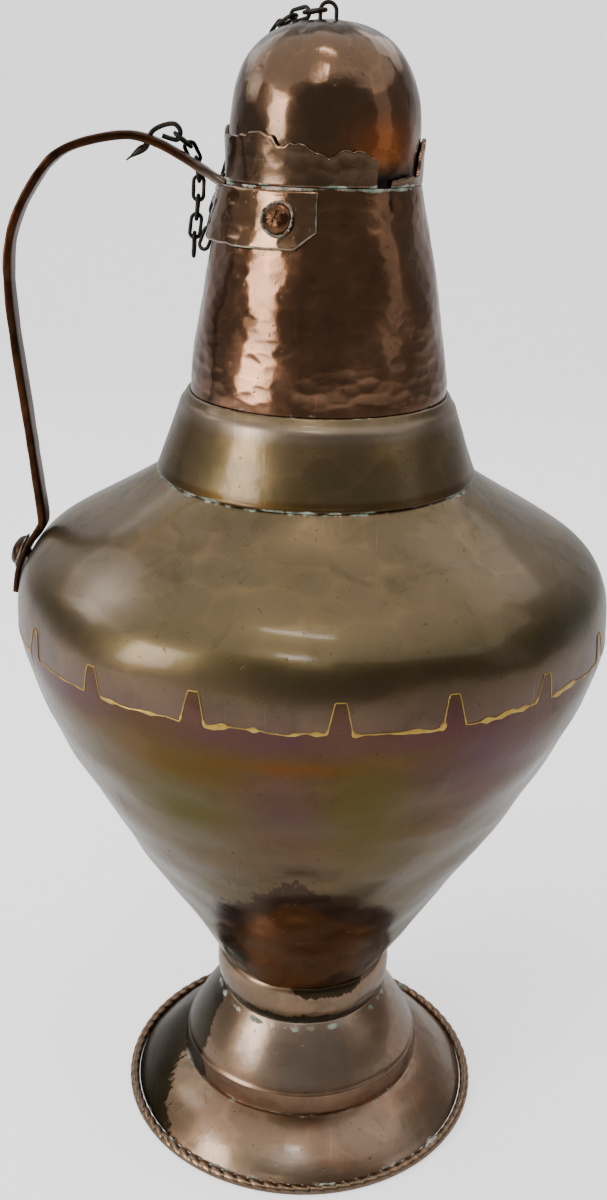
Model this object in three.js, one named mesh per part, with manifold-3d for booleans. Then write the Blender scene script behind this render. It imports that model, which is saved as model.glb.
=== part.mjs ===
// A tall hammered copper water jug: stepped foot, wide belly made of two raised
// bowls joined by a cramped (castellated) seam, conical neck with a scalloped
// mouth collar, a domed lift-off lid, a strap handle and the iron chain that
// ties the lid to the handle.
// Units are millimetres, +Z is up, the handle stands on the -X side.
// The origin is the centre of the foot on the surface that the jug stands on.
import * as THREE from 'three';
import { mergeVertices } from 'three/addons/utils/BufferGeometryUtils.js';
import Module from 'manifold-3d';

const wasm = await Module();
wasm.setup();

// General
const SEGMENTS = 36;
const GAP = 0.3;
const SHEET = 1.6;

// Foot: a flared dish with a milled bead round its rim, and a stepped cone on it
const FOOT_RADIUS = 104.5;
const BEAD_SIZE = 5.6;
const BEAD_NOTCHES = 82;
const BEAD_NOTCH_DEPTH = 0.7;
const BEAD_SIDES = 5;
const BEAD_TILT = 0.15;
const BEAD_SEAT = 0.45;
const STEP_RADIUS = 71.5;
const STEP_LEDGE = 2.2;
const STEP_SEAT = 4.6;
const DISH_RISE = 24.4;
const DISH_BULGE = 5.2;
const BAND_RISE = 12.5;
const BAND_LEAN = 1.6;
const CONE_RISE = 28.5;
const CONE_BULGE = 3.4;
const CONE_TOP_RADIUS = 46.8;
const CONE_INNER_RUN = [0.06, 0.88];

// Waist collar: the ring that ties the foot to the bowl
const WAIST_RADIUS = 50;
const WAIST_HEIGHT = 24.5;
const WAIST_BORE = 44;
const WAIST_EDGE_RADIUS = 47.4;
const TUCK_LENGTH = 11;

// Belly: the lower bowl and the shoulder, each a smooth raised curve
const BOWL_FOOT_RADIUS = 47.7;
const BOWL_FOOT_LIFT = 2.6;
const BOWL_FOOT_STEP = 0.9;
const BOWL_FOOT_ANGLE = 71.3;
const BOWL_FOOT_PULL = 27;
const BELLY_RADIUS = 154.6;
const BOWL_RISE = 218;
const BOWL_BELLY_PULL = 52.8;
const BOWL_INNER_FROM = 0.02;
const SHOULDER_RISE = 73.9;
const SHOULDER_BELLY_PULL = 44.7;
const SHOULDER_TOP_RADIUS = 80.9;
const SHOULDER_ANGLE = 35.9;
const SHOULDER_PULL = 61.8;
const SHOULDER_LIP = 3;

// Cramped seam: tabs of the lower bowl that key into the shoulder
const SEAM_DROP = 2;
const TAB_COUNT = 17;
const TAB_BASE = 12;
const TAB_TOP = 4.6;
const TAB_HEIGHT = 14.5;
const TAB_PHASE = -87;
const TAB_ROOT = 5;
const TAB_SIDE_GAP = 1.2;
const SEAM_REACH = 10;
const SEAM_DEPTH = 40;

// Neck
const NECK_BAND_RISE = 34.5;
const NECK_BAND_TOP_RADIUS = 70;
const NECK_LEDGE_RISE = 7;
const NECK_LEDGE_WIDTH = 5.6;
const NECK_ROOT_RADIUS = NECK_BAND_TOP_RADIUS - NECK_LEDGE_WIDTH;
const NECK_RISE = 99.7;
const NECK_TOP_RADIUS = 46.8;
const NECK_ROOT_PULL = 36;
const NECK_ROOT_LEAN = 1.9;
const NECK_TOP_PULL = 29.7;
const NECK_TOP_LEAN = 6.2;
const NECK_TUCK = 6;
const NECK_INNER_TO = 0.96;
const MOUTH_RADIUS = 42.5;

// Mouth collar: height of the torn scalloped edge above the seam, [azimuth, height]
const COLLAR_WALL = 1.2;
const COLLAR_TEAR_FROM = -49;
const COLLAR_TEAR_TO = -59;
const COLLAR_EDGE = [
  [-49, 3], [-40, 4.5], [-22, 4.5], [-15, 15], [-2, 20], [12, 17], [28, 23], [44, 18], [62, 24],
  [80, 19], [98, 25], [116, 20], [134, 26], [152, 21], [170, 25], [188, 22], [208, 24],
  [218, 25], [230, 28], [239, 26], [244, 20.5], [251, 22.5], [259, 22], [266, 16.5],
  [274, 14], [281, 17], [292, 16.5], [297, 13], [301, 11.5],
];

// Lid: a dome with a sleeve inside that grips the mouth
const LID_CLEARANCE = 0.5;
const LID_WALL = 1.5;
const LID_SIDE_RISE = 18;
const LID_DOME_RISE = 53;
const LID_SIDE_PULL = 27;
const LID_CROWN_PULL = 38;
const SLEEVE_WALL = 1.2;
const SLEEVE_DEPTH = 18;
const SLEEVE_GRIP = 12;
const SLEEVE_STEP = 1;
const STAPLE_WIRE = 2;
const STAPLE_SPAN = 7.4;
const STAPLE_RISE = 7.2;
const STAPLE_TAIL = 4;
const STAPLE_BENDS = 6;
const DRILL_ROOM = 2;

// Handle: a strap that tapers from the shoulder leaf to the neck saddle
const STRAP_LOW_WIDTH = 13;
const STRAP_LOW_THICKNESS = 3.8;
const STRAP_TOP_WIDTH = 10;
const STRAP_TOP_THICKNESS = 2.7;
const STRAP_SWAY = 9.5;
const STRAP_FOOT_RISE = 8;
const STRAP_APEX_REACH = 96;
const STRAP_APEX_RISE = 19.2;
const STRAP_SHOULDER_DROP = 7.3;
const STRAP_ROOT_DEPTH = 3;
const STRAP_ROOT_DROP = 0.5;
const STRAP_EDGE_ROUND = 0.3;
const LEAF_WIDTH = 25;
const LEAF_LENGTH = 36;
const LEAF_THICKNESS = 3.2;
const LEAF_LIFT = 1.2;
const LEAF_TIP_RISE = 4;
const LEAF_FROM = 0.9;
const LEAF_RIVET_SHARE = 0.52;
const LEAF_BLEND = 0.02;
const LEAF_TIP_FROM = 0.975;
const LEAF_TIP_TO = 1.02;
const LEAF_TIP_NARROWING = 0.62;
const SADDLE_HALF_ANGLE = 87;
const SADDLE_THICKNESS = 1.8;
const SADDLE_STANDOFF = 1.5;
const SADDLE_TOP_DROP = 1.5;
const SADDLE_HEIGHT = 25.5;
const SADDLE_CORNER_ANGLE = 11;
const SADDLE_CORNER_RISE = 8;

// Rivets
const RIVET_RADIUS = 6.9;
const RIVET_HEAD = 3.6;
const RIVET_SHANK = 2.4;
const RIVET_TAIL_RADIUS = 4;
const RIVET_TAIL = 1.4;
const RIVET_TAIL_ROOM = 1.2;
const RIVET_TAIL_EDGE = 0.8;
const RIVET_DRILL_REACH = 8;
const SADDLE_RIVET_ANGLE = 67;
const SADDLE_RIVET_DROP = 12.4;

// Chain and the pin that holds it on the handle
const LINK_WIRE = 2;
const LINK_LENGTH = 13.4;
const LINK_WIDTH = 7;
const LINK_PLAY = 0.5;
const PIN_WIRE = 2;
const PIN_BACK = 12.5;
const PIN_REACH = STRAP_APEX_REACH - PIN_BACK;
const PIN_SHANK = 3.4;
// The pin's loop above the strap: [along the strap, above its foot]
const PIN_LOOP = [[1.4, 1.6], [5.4, 5.2], [9.8, 7], [13.2, 4.8], [13, 0.9], [9.4, 0.2], [5.6, 0.2]];
const SPIKE_REACH = 7.4;
const SPIKE_DROP = 12.6;
const SPIKE_RADIUS = 1.3;
const SPIKE_TIP_RADIUS = 0.5;
const SPIKE_ROOT_LAP = 0.5;
const SPIKE_ROOT_SHIFT = 0.05;
const CHAIN_SIDE = 10.4;
const LID_LINKS = 16;
const PIN_LINKS = 7;
// Where the chain touches the dome: [share of its outline, azimuth]
const DOME_WAY = [[0.82, 148], [0.7, 142], [0.5, 138], [0.3, 137], [0.12, 139]];
// The way of the chain past the collar and the saddle: [off the wall, above the mouth, azimuth]
const LID_HANG = [
  [-0.5, 15.3, 144], [1.4, 4.3, 149], [1.2, -5.5, 153], [0.8, -14.2, 157], [0.8, -27, 159], [2.2, -36, 160],
];
const PIN_EYE_LENGTH = 13.5;
const PIN_EYE_RISE = 2.8;
// The way of the chain below the pin: [out from the saddle, sideways, above the mouth]
const PIN_HANG = [
  [15.5, -6.7, 16.6], [12.4, -2.1, 12], [10.2, 0.4, 3], [10.6, 1, -12], [12.2, 1, -26], [13.2, 1, -34],
  [10, 1.4, -44],
];

const radians = THREE.MathUtils.degToRad;
const vec2 = (x, y) => new THREE.Vector2(x, y);
const vec3 = (x, y, z) => new THREE.Vector3(x, y, z);

// Heights, stacked from the ground up
const Z_STEP = DISH_RISE;
const Z_BAND = Z_STEP + BAND_RISE;
const Z_WAIST = Z_BAND + CONE_RISE;
const Z_WAIST_TOP = Z_WAIST + WAIST_HEIGHT;
const Z_BOWL = Z_WAIST_TOP + BOWL_FOOT_LIFT;
const Z_BELLY = Z_BOWL + BOWL_RISE;
const Z_SEAM = Z_BELLY - SEAM_DROP;
const Z_SHOULDER = Z_BELLY + SHOULDER_RISE;
const Z_NECK_BAND = Z_SHOULDER + NECK_BAND_RISE;
const Z_NECK = Z_NECK_BAND + NECK_LEDGE_RISE;
const Z_MOUTH = Z_NECK + NECK_RISE;
const Z_LID = Z_MOUTH + GAP;
const Z_DOME = Z_LID + LID_SIDE_RISE;
const Z_CROWN = Z_DOME + LID_DOME_RISE;
const COLLAR_RADIUS = NECK_TOP_RADIUS + GAP;
const LID_RADIUS = COLLAR_RADIUS - COLLAR_WALL - LID_CLEARANCE;

// The smooth outlines, as curves of (radius, height)
const bowlCurve = new THREE.CubicBezierCurve(
  vec2(BOWL_FOOT_RADIUS, Z_BOWL),
  vec2(
    BOWL_FOOT_RADIUS + BOWL_FOOT_PULL * Math.cos(radians(BOWL_FOOT_ANGLE)),
    Z_BOWL + BOWL_FOOT_PULL * Math.sin(radians(BOWL_FOOT_ANGLE)),
  ),
  vec2(BELLY_RADIUS, Z_BELLY - BOWL_BELLY_PULL),
  vec2(BELLY_RADIUS, Z_BELLY),
);
const shoulderCurve = new THREE.CubicBezierCurve(
  vec2(BELLY_RADIUS, Z_BELLY),
  vec2(BELLY_RADIUS, Z_BELLY + SHOULDER_BELLY_PULL),
  vec2(
    SHOULDER_TOP_RADIUS + SHOULDER_PULL * Math.cos(radians(SHOULDER_ANGLE)),
    Z_SHOULDER - SHOULDER_PULL * Math.sin(radians(SHOULDER_ANGLE)),
  ),
  vec2(SHOULDER_TOP_RADIUS, Z_SHOULDER),
);
const neckCurve = new THREE.CubicBezierCurve(
  vec2(NECK_ROOT_RADIUS, Z_NECK),
  vec2(NECK_ROOT_RADIUS - NECK_ROOT_LEAN, Z_NECK + NECK_ROOT_PULL),
  vec2(NECK_TOP_RADIUS + NECK_TOP_LEAN, Z_MOUTH - NECK_TOP_PULL),
  vec2(NECK_TOP_RADIUS, Z_MOUTH),
);
const domeCurve = new THREE.CubicBezierCurve(
  vec2(LID_RADIUS, Z_DOME),
  vec2(LID_RADIUS, Z_DOME + LID_SIDE_PULL),
  vec2(LID_CROWN_PULL, Z_CROWN),
  vec2(0, Z_CROWN),
);

// A point of a curve, moved outwards along the curve's normal
function offsetPoint(curve, t, distance) {
  const tangent = curve.getTangent(t);
  return curve.getPoint(t).add(vec2(tangent.y, -tangent.x).multiplyScalar(distance));
}

// Points along a curve, at a distance from it, between two parameters
function offsetRun(curve, distance, steps, from = 0, to = 1) {
  const run = [];
  for (let i = 0; i <= steps; i += 1) {
    run.push(offsetPoint(curve, from + ((to - from) * i) / steps, distance));
  }
  return run;
}

// The curve's parameter where it passes a height
function parameterAt(curve, height) {
  let low = 0;
  let high = 1;
  for (let i = 0; i < 40; i += 1) {
    const middle = (low + high) / 2;
    if (curve.getPoint(middle).y < height) {
      low = middle;
    } else {
      high = middle;
    }
  }
  return (low + high) / 2;
}

const neckRadius = (height) => neckCurve.getPoint(parameterAt(neckCurve, height)).x;

// A closed body's signed volume, to tell which way its faces point
function signedVolume(geometry) {
  const position = geometry.getAttribute('position');
  const index = geometry.getIndex();
  const a = vec3();
  const b = vec3();
  const c = vec3();
  let sum = 0;
  for (let i = 0; i < index.count; i += 3) {
    a.fromBufferAttribute(position, index.getX(i));
    b.fromBufferAttribute(position, index.getX(i + 1));
    c.fromBufferAttribute(position, index.getX(i + 2));
    sum += a.dot(b.cross(c)) / 6;
  }
  return sum;
}

// Keeps positions only, shares equal vertices and points the faces outwards
function closedBody(geometry) {
  const plain = geometry.clone();
  plain.deleteAttribute('normal');
  plain.deleteAttribute('uv');
  const body = mergeVertices(plain, 1e-4);
  const index = body.getIndex();
  const kept = [];
  const flip = signedVolume(body) < 0;
  for (let i = 0; i < index.count; i += 3) {
    const face = [index.getX(i), index.getX(i + 1), index.getX(i + 2)];
    if (new Set(face).size === 3) {
      kept.push(...(flip ? face.reverse() : face));
    }
  }
  body.setIndex(kept);
  return body;
}

// A profile of (radius, height) points revolved about the Z axis
function revolve(profile, segments = SEGMENTS) {
  const lathe = new THREE.LatheGeometry([...profile, profile[0]], segments);
  return closedBody(lathe.rotateX(Math.PI / 2));
}

// A body through a row of sections with equal point counts, capped or closed on itself
function loft(sections, ring = false) {
  const count = sections[0].length;
  const corners = sections.flat().flatMap((point) => point.toArray());
  const faces = [];
  const rows = ring ? sections.length : sections.length - 1;
  for (let row = 0; row < rows; row += 1) {
    const next = (row + 1) % sections.length;
    for (let i = 0; i < count; i += 1) {
      const j = (i + 1) % count;
      faces.push(row * count + i, next * count + i, next * count + j);
      faces.push(row * count + i, next * count + j, row * count + j);
    }
  }
  if (!ring) {
    const last = (sections.length - 1) * count;
    for (let i = 1; i < count - 1; i += 1) {
      faces.push(0, i, i + 1, last, last + i + 1, last + i);
    }
  }
  const geometry = new THREE.BufferGeometry();
  geometry.setAttribute('position', new THREE.Float32BufferAttribute(corners, 3));
  geometry.setIndex(faces);
  return closedBody(geometry);
}

// Booleans
function toSolid(geometry) {
  const body = closedBody(geometry);
  return new wasm.Manifold(new wasm.Mesh({
    numProp: 3,
    vertProperties: new Float32Array(body.getAttribute('position').array),
    triVerts: new Uint32Array(body.getIndex().array),
  }));
}

function toGeometry(solid) {
  const mesh = solid.getMesh();
  const geometry = new THREE.BufferGeometry();
  const corners = new Float32Array(mesh.vertProperties);
  geometry.setAttribute('position', new THREE.BufferAttribute(corners, 3));
  geometry.setIndex(new THREE.BufferAttribute(new Uint32Array(mesh.triVerts), 1));
  return geometry;
}

function cut(geometry, ...tools) {
  return toGeometry(tools.reduce((solid, tool) => solid.subtract(toSolid(tool)), toSolid(geometry)));
}

function join(geometry, ...others) {
  return toGeometry(others.reduce((solid, other) => solid.add(toSolid(other)), toSolid(geometry)));
}

// A round bar between two points
function bar(from, to, radius, sides = 10, tipRadius = radius) {
  const along = to.clone().sub(from);
  const cylinder = new THREE.CylinderGeometry(tipRadius, radius, along.length(), sides);
  const turn = new THREE.Quaternion().setFromUnitVectors(vec3(0, 1, 0), along.clone().normalize());
  return cylinder.applyQuaternion(turn).translate(...from.clone().lerp(to, 0.5).toArray());
}

// A round wire along a curve
function wire(curve, radius, steps, sides = 8) {
  const shape = new THREE.Shape();
  shape.absarc(0, 0, radius, 0, Math.PI * 2);
  const section = new THREE.Shape(shape.getPoints(sides).slice(0, sides));
  return new THREE.ExtrudeGeometry(section, { extrudePath: curve, steps, bevelEnabled: false });
}

// A frame on the jug's surface: its place and its outward direction
function surfacePlace(point, normal, azimuth) {
  const around = radians(azimuth);
  return {
    place: vec3(point.x * Math.cos(around), point.x * Math.sin(around), point.y),
    out: vec3(normal.x * Math.cos(around), normal.x * Math.sin(around), normal.y).normalize(),
  };
}

function curvePlace(curve, t, azimuth) {
  const tangent = curve.getTangent(t);
  return surfacePlace(curve.getPoint(t), vec2(tangent.y, -tangent.x), azimuth);
}

const pointAlong = ({ place, out }, distance) => place.clone().addScaledVector(out, distance);

// Foot
function makeFootBead() {
  const half = BEAD_SIZE / 2;
  const centre = FOOT_RADIUS - half;
  const sections = [];
  for (let i = 0; i < BEAD_NOTCHES * 2; i += 1) {
    const depth = i % 2 === 0 ? 0 : BEAD_NOTCH_DEPTH;
    const section = [];
    for (let side = 0; side < BEAD_SIDES; side += 1) {
      const turn = (side / BEAD_SIDES - BEAD_TILT) * Math.PI * 2;
      const upper = side > 0 && side < BEAD_SIDES - 1;
      const reach = half - (upper ? depth : 0);
      const skew = (Math.sin(turn) * Math.PI) / (BEAD_NOTCHES * 2);
      const around = (i / (BEAD_NOTCHES * 2)) * Math.PI * 2 + (upper ? skew : 0);
      const radius = centre + reach * Math.cos(turn);
      const height = half * Math.sin(BEAD_TILT * Math.PI * 2) + reach * Math.sin(turn);
      section.push(vec3(radius * Math.cos(around), radius * Math.sin(around), height));
    }
    sections.push(section);
  }
  return loft(sections, true);
}

function makeFootDish() {
  const edge = FOOT_RADIUS - BEAD_SIZE - GAP;
  const low = vec2(edge, BEAD_SIZE * BEAD_SEAT);
  const high = vec2(STEP_RADIUS, Z_STEP - GAP);
  const middle = vec2((low.x + high.x) / 2, (low.y + high.y) / 2 + DISH_BULGE);
  const flare = new THREE.QuadraticBezierCurve(low, middle, high);
  const inner = vec2(STEP_RADIUS - STEP_LEDGE - STEP_SEAT, Z_STEP - GAP);
  return revolve([
    ...offsetRun(flare, 0, 4),
    inner,
    vec2(inner.x, inner.y - SHEET),
    ...offsetRun(flare, -SHEET, 4).reverse(),
  ]);
}

function makeFootCone() {
  const foot = vec2(STEP_RADIUS - STEP_LEDGE, Z_STEP);
  const crease = vec2(foot.x - BAND_LEAN, Z_BAND);
  const top = vec2(CONE_TOP_RADIUS, Z_WAIST - GAP);
  const middle = vec2((crease.x + top.x) / 2 + CONE_BULGE, (crease.y + top.y) / 2 + CONE_BULGE);
  const slope = new THREE.QuadraticBezierCurve(crease, middle, top);
  const tuck = WAIST_BORE - GAP;
  return revolve([
    vec2(foot.x - SHEET, foot.y),
    foot,
    ...offsetRun(slope, 0, 4),
    vec2(tuck, top.y),
    vec2(tuck, top.y + TUCK_LENGTH),
    vec2(tuck - SHEET, top.y + TUCK_LENGTH),
    vec2(tuck - SHEET, top.y - SHEET),
    ...offsetRun(slope, -SHEET, 3, ...CONE_INNER_RUN).reverse(),
  ]);
}

function makeWaistCollar() {
  const bulge = new THREE.EllipseCurve(
    WAIST_EDGE_RADIUS,
    (Z_WAIST + Z_WAIST_TOP) / 2,
    WAIST_RADIUS - WAIST_EDGE_RADIUS,
    WAIST_HEIGHT / 2,
    -Math.PI / 2,
    Math.PI / 2,
  );
  return revolve([...bulge.getPoints(5), vec2(WAIST_BORE, Z_WAIST_TOP), vec2(WAIST_BORE, Z_WAIST)]);
}

// Belly: one shell, parted along the castellated seam
function makeBellyShell() {
  const tuck = WAIST_BORE - GAP;
  const rest = Z_WAIST_TOP + GAP;
  const lip = shoulderCurve.getTangent(1).multiplyScalar(SHOULDER_LIP + SHEET);
  const lipEnd = shoulderCurve.getPoint(1).add(lip);
  const lipIn = offsetPoint(shoulderCurve, 1, -SHEET).add(lip);
  return revolve([
    vec2(0, rest - TUCK_LENGTH),
    vec2(tuck, rest - TUCK_LENGTH),
    vec2(tuck, rest),
    vec2(BOWL_FOOT_RADIUS - BOWL_FOOT_STEP, rest),
    ...offsetRun(bowlCurve, 0, 7).slice(0, -1),
    ...offsetRun(shoulderCurve, 0, 6),
    lipEnd,
    lipIn,
    ...offsetRun(shoulderCurve, -SHEET, 5).reverse(),
    ...offsetRun(bowlCurve, -SHEET, 5, BOWL_INNER_FROM).slice(0, -1).reverse(),
    vec2(tuck - SHEET, rest),
    vec2(tuck - SHEET, rest - TUCK_LENGTH + SHEET),
    vec2(0, rest - TUCK_LENGTH + SHEET),
  ]);
}

// Everything below the seam, with its tabs, grown by a clearance
function belowSeam(clearance) {
  const reach = BELLY_RADIUS + SEAM_REACH;
  const disc = new THREE.CylinderGeometry(reach, reach, Z_SEAM, SEGMENTS).rotateX(Math.PI / 2);
  disc.translate(0, 0, Z_SEAM / 2 + clearance);
  const tabs = [];
  for (let i = 0; i < TAB_COUNT; i += 1) {
    const slant = clearance * TAB_SIDE_GAP;
    const tab = new THREE.Shape([
      vec2(-TAB_BASE / 2 - slant, -TAB_ROOT),
      vec2(TAB_BASE / 2 + slant, -TAB_ROOT),
      vec2(TAB_BASE / 2 + slant, clearance),
      vec2(TAB_TOP / 2 + slant, TAB_HEIGHT + clearance),
      vec2(-TAB_TOP / 2 - slant, TAB_HEIGHT + clearance),
      vec2(-TAB_BASE / 2 - slant, clearance),
    ]);
    const prism = new THREE.ExtrudeGeometry(tab, { depth: SEAM_DEPTH, bevelEnabled: false });
    prism.rotateX(Math.PI / 2).rotateZ(Math.PI / 2).translate(reach - SEAM_DEPTH, 0, Z_SEAM);
    prism.rotateZ(radians(TAB_PHASE + (i * 360) / TAB_COUNT));
    tabs.push(prism);
  }
  return join(disc, ...tabs);
}

function partBelly(drills) {
  const shell = toSolid(makeBellyShell());
  const lower = toGeometry(shell.intersect(toSolid(belowSeam(0))));
  const upper = toGeometry(shell.subtract(toSolid(belowSeam(GAP))));
  return { lower, upper: cut(upper, ...drills) };
}

// Neck
function makeNeckBand() {
  const along = shoulderCurve.getTangent(1);
  const foot = offsetPoint(shoulderCurve, 1, GAP);
  const footIn = foot.clone().addScaledVector(along, SHEET / Math.cos(radians(SHOULDER_ANGLE)));
  const bore = NECK_ROOT_RADIUS + GAP;
  return revolve([
    footIn,
    foot,
    vec2(NECK_BAND_TOP_RADIUS, Z_NECK_BAND),
    vec2(bore + SHEET, Z_NECK - GAP),
    vec2(bore, Z_NECK - GAP),
    vec2(bore, Z_NECK - SHEET),
    vec2(NECK_BAND_TOP_RADIUS - SHEET, Z_NECK_BAND - SHEET / 2),
  ]);
}

function makeNeckCone(drills) {
  const shell = revolve([
    vec2(NECK_ROOT_RADIUS - SHEET, Z_NECK - NECK_TUCK),
    vec2(NECK_ROOT_RADIUS, Z_NECK - NECK_TUCK),
    ...offsetRun(neckCurve, 0, 5),
    vec2(MOUTH_RADIUS, Z_MOUTH),
    vec2(MOUTH_RADIUS, Z_MOUTH - SHEET),
    ...offsetRun(neckCurve, -SHEET, 3, 0, NECK_INNER_TO).reverse(),
  ]);
  return cut(shell, ...drills);
}

// Height of the mouth collar's torn edge at an azimuth
function collarHeight(azimuth) {
  for (let i = 1; i < COLLAR_EDGE.length; i += 1) {
    const [fromAngle, fromHeight] = COLLAR_EDGE[i - 1];
    const [toAngle, toHeight] = COLLAR_EDGE[i];
    if (azimuth <= toAngle) {
      const share = (azimuth - fromAngle) / (toAngle - fromAngle);
      const smooth = (1 - Math.cos(share * Math.PI)) / 2;
      return fromHeight + (toHeight - fromHeight) * smooth;
    }
  }
  return COLLAR_EDGE[COLLAR_EDGE.length - 1][1];
}

// A plate that follows the jug round its axis, from sections of (radius, height)
function curvedPlate(fromAngle, toAngle, steps, sectionAt) {
  const sections = [];
  for (let i = 0; i <= steps; i += 1) {
    const azimuth = fromAngle + ((toAngle - fromAngle) * i) / steps;
    const around = radians(azimuth);
    sections.push(sectionAt(azimuth).map(
      (point) => vec3(point.x * Math.cos(around), point.x * Math.sin(around), point.y),
    ));
  }
  return loft(sections);
}

function makeMouthCollar() {
  const outer = COLLAR_RADIUS;
  const inner = outer - COLLAR_WALL;
  return curvedPlate(COLLAR_TEAR_FROM, COLLAR_TEAR_TO + 360, 84, (azimuth) => {
    const top = Z_MOUTH + GAP + collarHeight(azimuth);
    return [vec2(inner, Z_MOUTH + GAP), vec2(outer, Z_MOUTH + GAP), vec2(outer, top), vec2(inner, top)];
  });
}

// Lid
function makeLidDome(drills) {
  const shell = revolve([
    vec2(LID_RADIUS - LID_WALL, Z_LID),
    vec2(LID_RADIUS, Z_LID),
    ...offsetRun(domeCurve, 0, 7),
    ...offsetRun(domeCurve, -LID_WALL, 5).reverse(),
  ]);
  return cut(shell, ...drills);
}

function makeLidSleeve() {
  const grip = LID_RADIUS - LID_WALL - GAP;
  const neck = MOUTH_RADIUS - LID_CLEARANCE;
  return revolve([
    vec2(neck - SLEEVE_WALL, Z_LID - SLEEVE_DEPTH),
    vec2(neck, Z_LID - SLEEVE_DEPTH),
    vec2(neck, Z_LID + SLEEVE_STEP),
    vec2(grip, Z_LID + SLEEVE_STEP * 2),
    vec2(grip, Z_LID + SLEEVE_GRIP),
    vec2(grip - SLEEVE_WALL, Z_LID + SLEEVE_GRIP),
    vec2(grip - SLEEVE_WALL, Z_LID + SLEEVE_STEP * 2),
    vec2(neck - SLEEVE_WALL, Z_LID + SLEEVE_STEP),
  ]);
}

const stapleTop = Z_CROWN + STAPLE_RISE;

function makeLidStaple() {
  const half = STAPLE_SPAN / 2;
  const arch = new THREE.CurvePath();
  const spring = stapleTop - half;
  arch.add(new THREE.LineCurve3(vec3(-half, 0, Z_CROWN - STAPLE_TAIL), vec3(-half, 0, spring)));
  let from = vec3(-half, 0, spring);
  for (let i = 1; i <= STAPLE_BENDS; i += 1) {
    const turn = Math.PI - (i * Math.PI) / STAPLE_BENDS;
    const to = vec3(half * Math.cos(turn), 0, spring + half * Math.sin(turn));
    arch.add(new THREE.LineCurve3(from, to));
    from = to;
  }
  arch.add(new THREE.LineCurve3(from, vec3(half, 0, Z_CROWN - STAPLE_TAIL)));
  return wire(arch, STAPLE_WIRE / 2, 18, 6);
}

function stapleDrills() {
  return [-1, 1].map((side) => {
    const x = (side * STAPLE_SPAN) / 2;
    return bar(
      vec3(x, 0, Z_CROWN - STAPLE_TAIL - DRILL_ROOM),
      vec3(x, 0, Z_CROWN + DRILL_ROOM),
      STAPLE_WIRE / 2 + GAP,
    );
  });
}

// Handle
const saddleTop = Z_MOUTH - SADDLE_TOP_DROP;
const saddleStandoff = (azimuth) => GAP + SADDLE_STANDOFF * Math.cos(radians(azimuth - 180)) ** 2;

function makeNeckSaddle(drills) {
  const rows = 2;
  const plate = curvedPlate(180 - SADDLE_HALF_ANGLE, 180 + SADDLE_HALF_ANGLE, 20, (azimuth) => {
    const fromEnd = SADDLE_HALF_ANGLE - Math.abs(azimuth - 180);
    const corner = Math.max(0, 1 - fromEnd / SADDLE_CORNER_ANGLE);
    const low = saddleTop - SADDLE_HEIGHT + corner * SADDLE_CORNER_RISE;
    const standoff = saddleStandoff(azimuth);
    const outline = [];
    for (let i = 0; i <= rows; i += 1) {
      const height = low + ((saddleTop - low) * i) / rows;
      outline.push(vec2(neckRadius(height) + standoff + SADDLE_THICKNESS, height));
    }
    for (let i = rows; i >= 0; i -= 1) {
      const height = low + ((saddleTop - low) * i) / rows;
      outline.push(vec2(neckRadius(height) + standoff, height));
    }
    return outline;
  });
  return cut(plate, ...drills);
}

// The strap's centre line in the X-Z plane, from the neck saddle to the tip of the leaf
const leafStart = parameterAt(shoulderCurve, Z_BELLY + LEAF_LENGTH);
const leafEnd = parameterAt(shoulderCurve, Z_BELLY + LEAF_TIP_RISE);
const saddleFace = neckRadius(saddleTop) + saddleStandoff(180) + SADDLE_THICKNESS;

const leafLift = (share) => LEAF_LIFT * (share * 2 - 1) ** 2;
const leafParameter = (share) => leafStart * (1 - share) + leafEnd * share;

function leafPoint(share) {
  const t = leafParameter(share);
  const lift = GAP + LEAF_THICKNESS / 2 + leafLift(share);
  const point = offsetPoint(shoulderCurve, t, lift);
  return vec3(-point.x, 0, point.y);
}

// Points of the strap between its apex and its foot, as [share of the sway inwards, share of the drop]
const STRAP_BOW = [
  [1.37, 0.13], [0.32, 0.235], [0, 0.34], [0.14, 0.495], [0.59, 0.71], [0.97, 0.905], [1.15, 1],
];
// Points between the saddle and the apex, as [share of the way, drop below the apex]
const STRAP_ARCH = [[1 / 3, 10.2], [2 / 3, 2.6], [1, 0]];

const strapApex = Z_MOUTH + STRAP_APEX_RISE;
const strapFoot = Z_BELLY + LEAF_LENGTH + STRAP_FOOT_RISE;
const strapReach = STRAP_SWAY - leafPoint(0).x;
const strapLine = new THREE.CatmullRomCurve3([
  vec3(-saddleFace + STRAP_ROOT_DEPTH, 0, saddleTop - STRAP_ROOT_DROP),
  ...STRAP_ARCH.map(
    ([share, drop]) => vec3(-saddleFace * (1 - share) - STRAP_APEX_REACH * share, 0, strapApex - drop),
  ),
  vec3(-(STRAP_APEX_REACH + strapReach) / 2, 0, strapApex - STRAP_SHOULDER_DROP),
  ...STRAP_BOW.map(
    ([sway, drop]) => vec3(-strapReach + STRAP_SWAY * sway, 0, strapApex - (strapApex - strapFoot) * drop),
  ),
  leafPoint(0),
  leafPoint(0.35),
  leafPoint(0.7),
  leafPoint(1),
], false, 'centripetal');

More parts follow.
